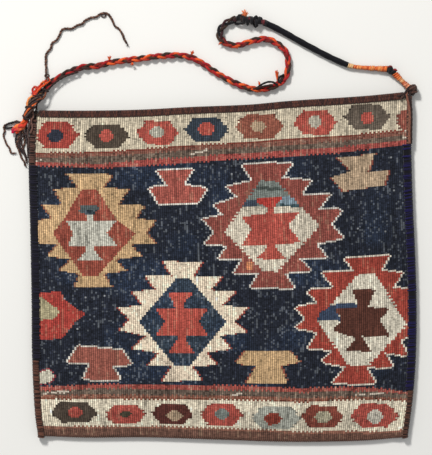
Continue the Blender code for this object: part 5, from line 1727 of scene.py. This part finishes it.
def mouth_binding(name, front, seed):
    """A mouth edge's binding: a core with turns of yarn slanted both ways."""
    left, right = panel_point(BINDING_INSET, 0.0)[0], panel_point(1 - BINDING_INSET, 0.0)[0]
    rings = []
    for x in np.linspace(left, right, 90):
        section, _, _, _ = binding_section(x, front)
        rings.append([lay(x, mouth_y(x) + down / UNIT_X, z) for down, z in section])
    core = swept(name + "_core", rings, SPUN_WOOL, dye("3a2320"))
    _, middle, half, sign = binding_section((left + right) / 2, front)
    outline = [(down, share * half) for down, share in BINDING_ROLL]
    outline += [
        (BINDING_BEAD + BINDING_LIP - 0.0006, 0.0), (BINDING_BEAD + 0.001, -half + BINDING_YARN),
        (0.0012, -half + BINDING_YARN * 1.3),
    ]
    loop = stitch_loop([(down, -z * sign) for down, z in outline], BINDING_YARN)
    path = []
    for x in np.linspace(left + 1.0, right - 1.0, 120):
        _, mid, _, _ = binding_section(x, front)
        path.append(lay(x, mouth_y(x), mid))
    material = toned_wool(name + "_wool", dye("090302"), dye("5e3529"), fleck=0.5)
    turns = [
        laid_stitches(name, path, loop, BINDING_PITCH, way * BINDING_SLANT, 0.10, seed + way, material)
        for way in (-1, 1)
    ]
    bpy.data.objects.remove(loop, do_unlink=True)
    return joined(name, [*turns, core])


for name, front, seed in (("front_mouth_binding", True, 201), ("back_mouth_binding", False, 202)):
    binding = mouth_binding(name, front, seed)
    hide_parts(name)
    binding.name = name + "_overcast"
    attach(binding, "root")

# The right top corner is a lump of brown wool wound over the end of the strap, many turns each way.
CORNER_KNOT_RADIUS = 0.0052
knot_y = SEAM_BREAKS["right"][0] - (CORNER_KNOT_RADIUS + CLEARANCE) / UNIT_X
knot_middle = lay(float(right_x(knot_y)) + 0.3, knot_y, CORNER_KNOT_RADIUS)
corner_shape = Shape()
corner_draw = random.Random(77)
for k in range(13):
    axis = Vector([corner_draw.uniform(-1, 1), corner_draw.uniform(-1, 1),
                   corner_draw.uniform(-0.4, 0.4)]).normalized(
        
    )
    first = axis.orthogonal().normalized()
    second = axis.cross(first)
    offset = axis * corner_draw.uniform(-0.0032, 0.0032)
    radius = CORNER_KNOT_RADIUS * corner_draw.uniform(0.55, 0.95)
    flat = corner_draw.uniform(0.6, 1.0)
    ring = [
        knot_middle + offset + first * math.cos(a) * radius + second * math.sin(a) * radius * flat
        for a in np.linspace(0, 2 * math.pi, 29)
    ]
    ring = [Vector((p.x, p.y, max(p.z, 0.0014))) for p in ring]
    corner_shape.tube(
        ring, 0.00125, 8, blend_colour(dye("150b09"), dye("55382f"), corner_draw.random()), plies=2,
        twist=1100.0, depth=0.16,
    )
core_points = [
    knot_middle + Vector((0, 0, CORNER_KNOT_RADIUS * 0.8 * math.cos(t))) for t in np.linspace(math.pi, 0, 9)
]
corner_shape.tube(
    core_points, lambda t: CORNER_KNOT_RADIUS * 0.7 * math.sqrt(max(0.02, 1 - (2 * t - 1) ** 2)) + 0.0004, 12,
    dye("1e1312"),
)
# The first two yarns form the cord down the right side: the left one is painted lighter and the right one
# darker, a painted highlight and painted shade.
for route, radius, code in (
    (((407.5, 89, 0.0090), (406.6, 95.5, 0.0100), (408.0, 101, 0.0102), (409.2, 108, 0.0102),
      (409.8, 116, 0.0100),
      (409.6, 125, 0.0098), (409.4, 134, 0.0098), (409.6, 143.5, 0.0094)), 0.0014, "7c4e3e"),
    (((411.0, 90, 0.0080), (409.6, 96, 0.0096), (410.6, 102, 0.0096), (411.4, 110, 0.0092),
      (411.6, 120, 0.0086), (411.4, 131, 0.0084), (411.4, 143.5, 0.0080)), 0.0013, "2a1b18"),
    (((406.0, 98, 0.0100), (404.8, 94, 0.0104), (406.5, 91, 0.0100), (409.5, 88.0, 0.0090)), 0.0013,
     "1c100e"),
    (((409.5, 89, 0.0090), (405.5, 92.5, 0.0104), (401.0, 95.0, 0.0104), (396.5, 96.5, 0.0094)), 0.0012,
     "33211d"),
    (((412.5, 87, 0.0060), (407.5, 90, 0.0090), (403.0, 96.0, 0.0104), (400.5, 99.5, 0.0094)), 0.0011,
     "4a332b"),
):
    corner_shape.tube(smooth_path(route, 0.0010), radius, 8, dye(code), plies=2, twist=1200.0, depth=0.16)
corner = corner_shape.object("corner_winding", SPUN_WOOL)
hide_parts("right_corner_knot")
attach(corner, "root")
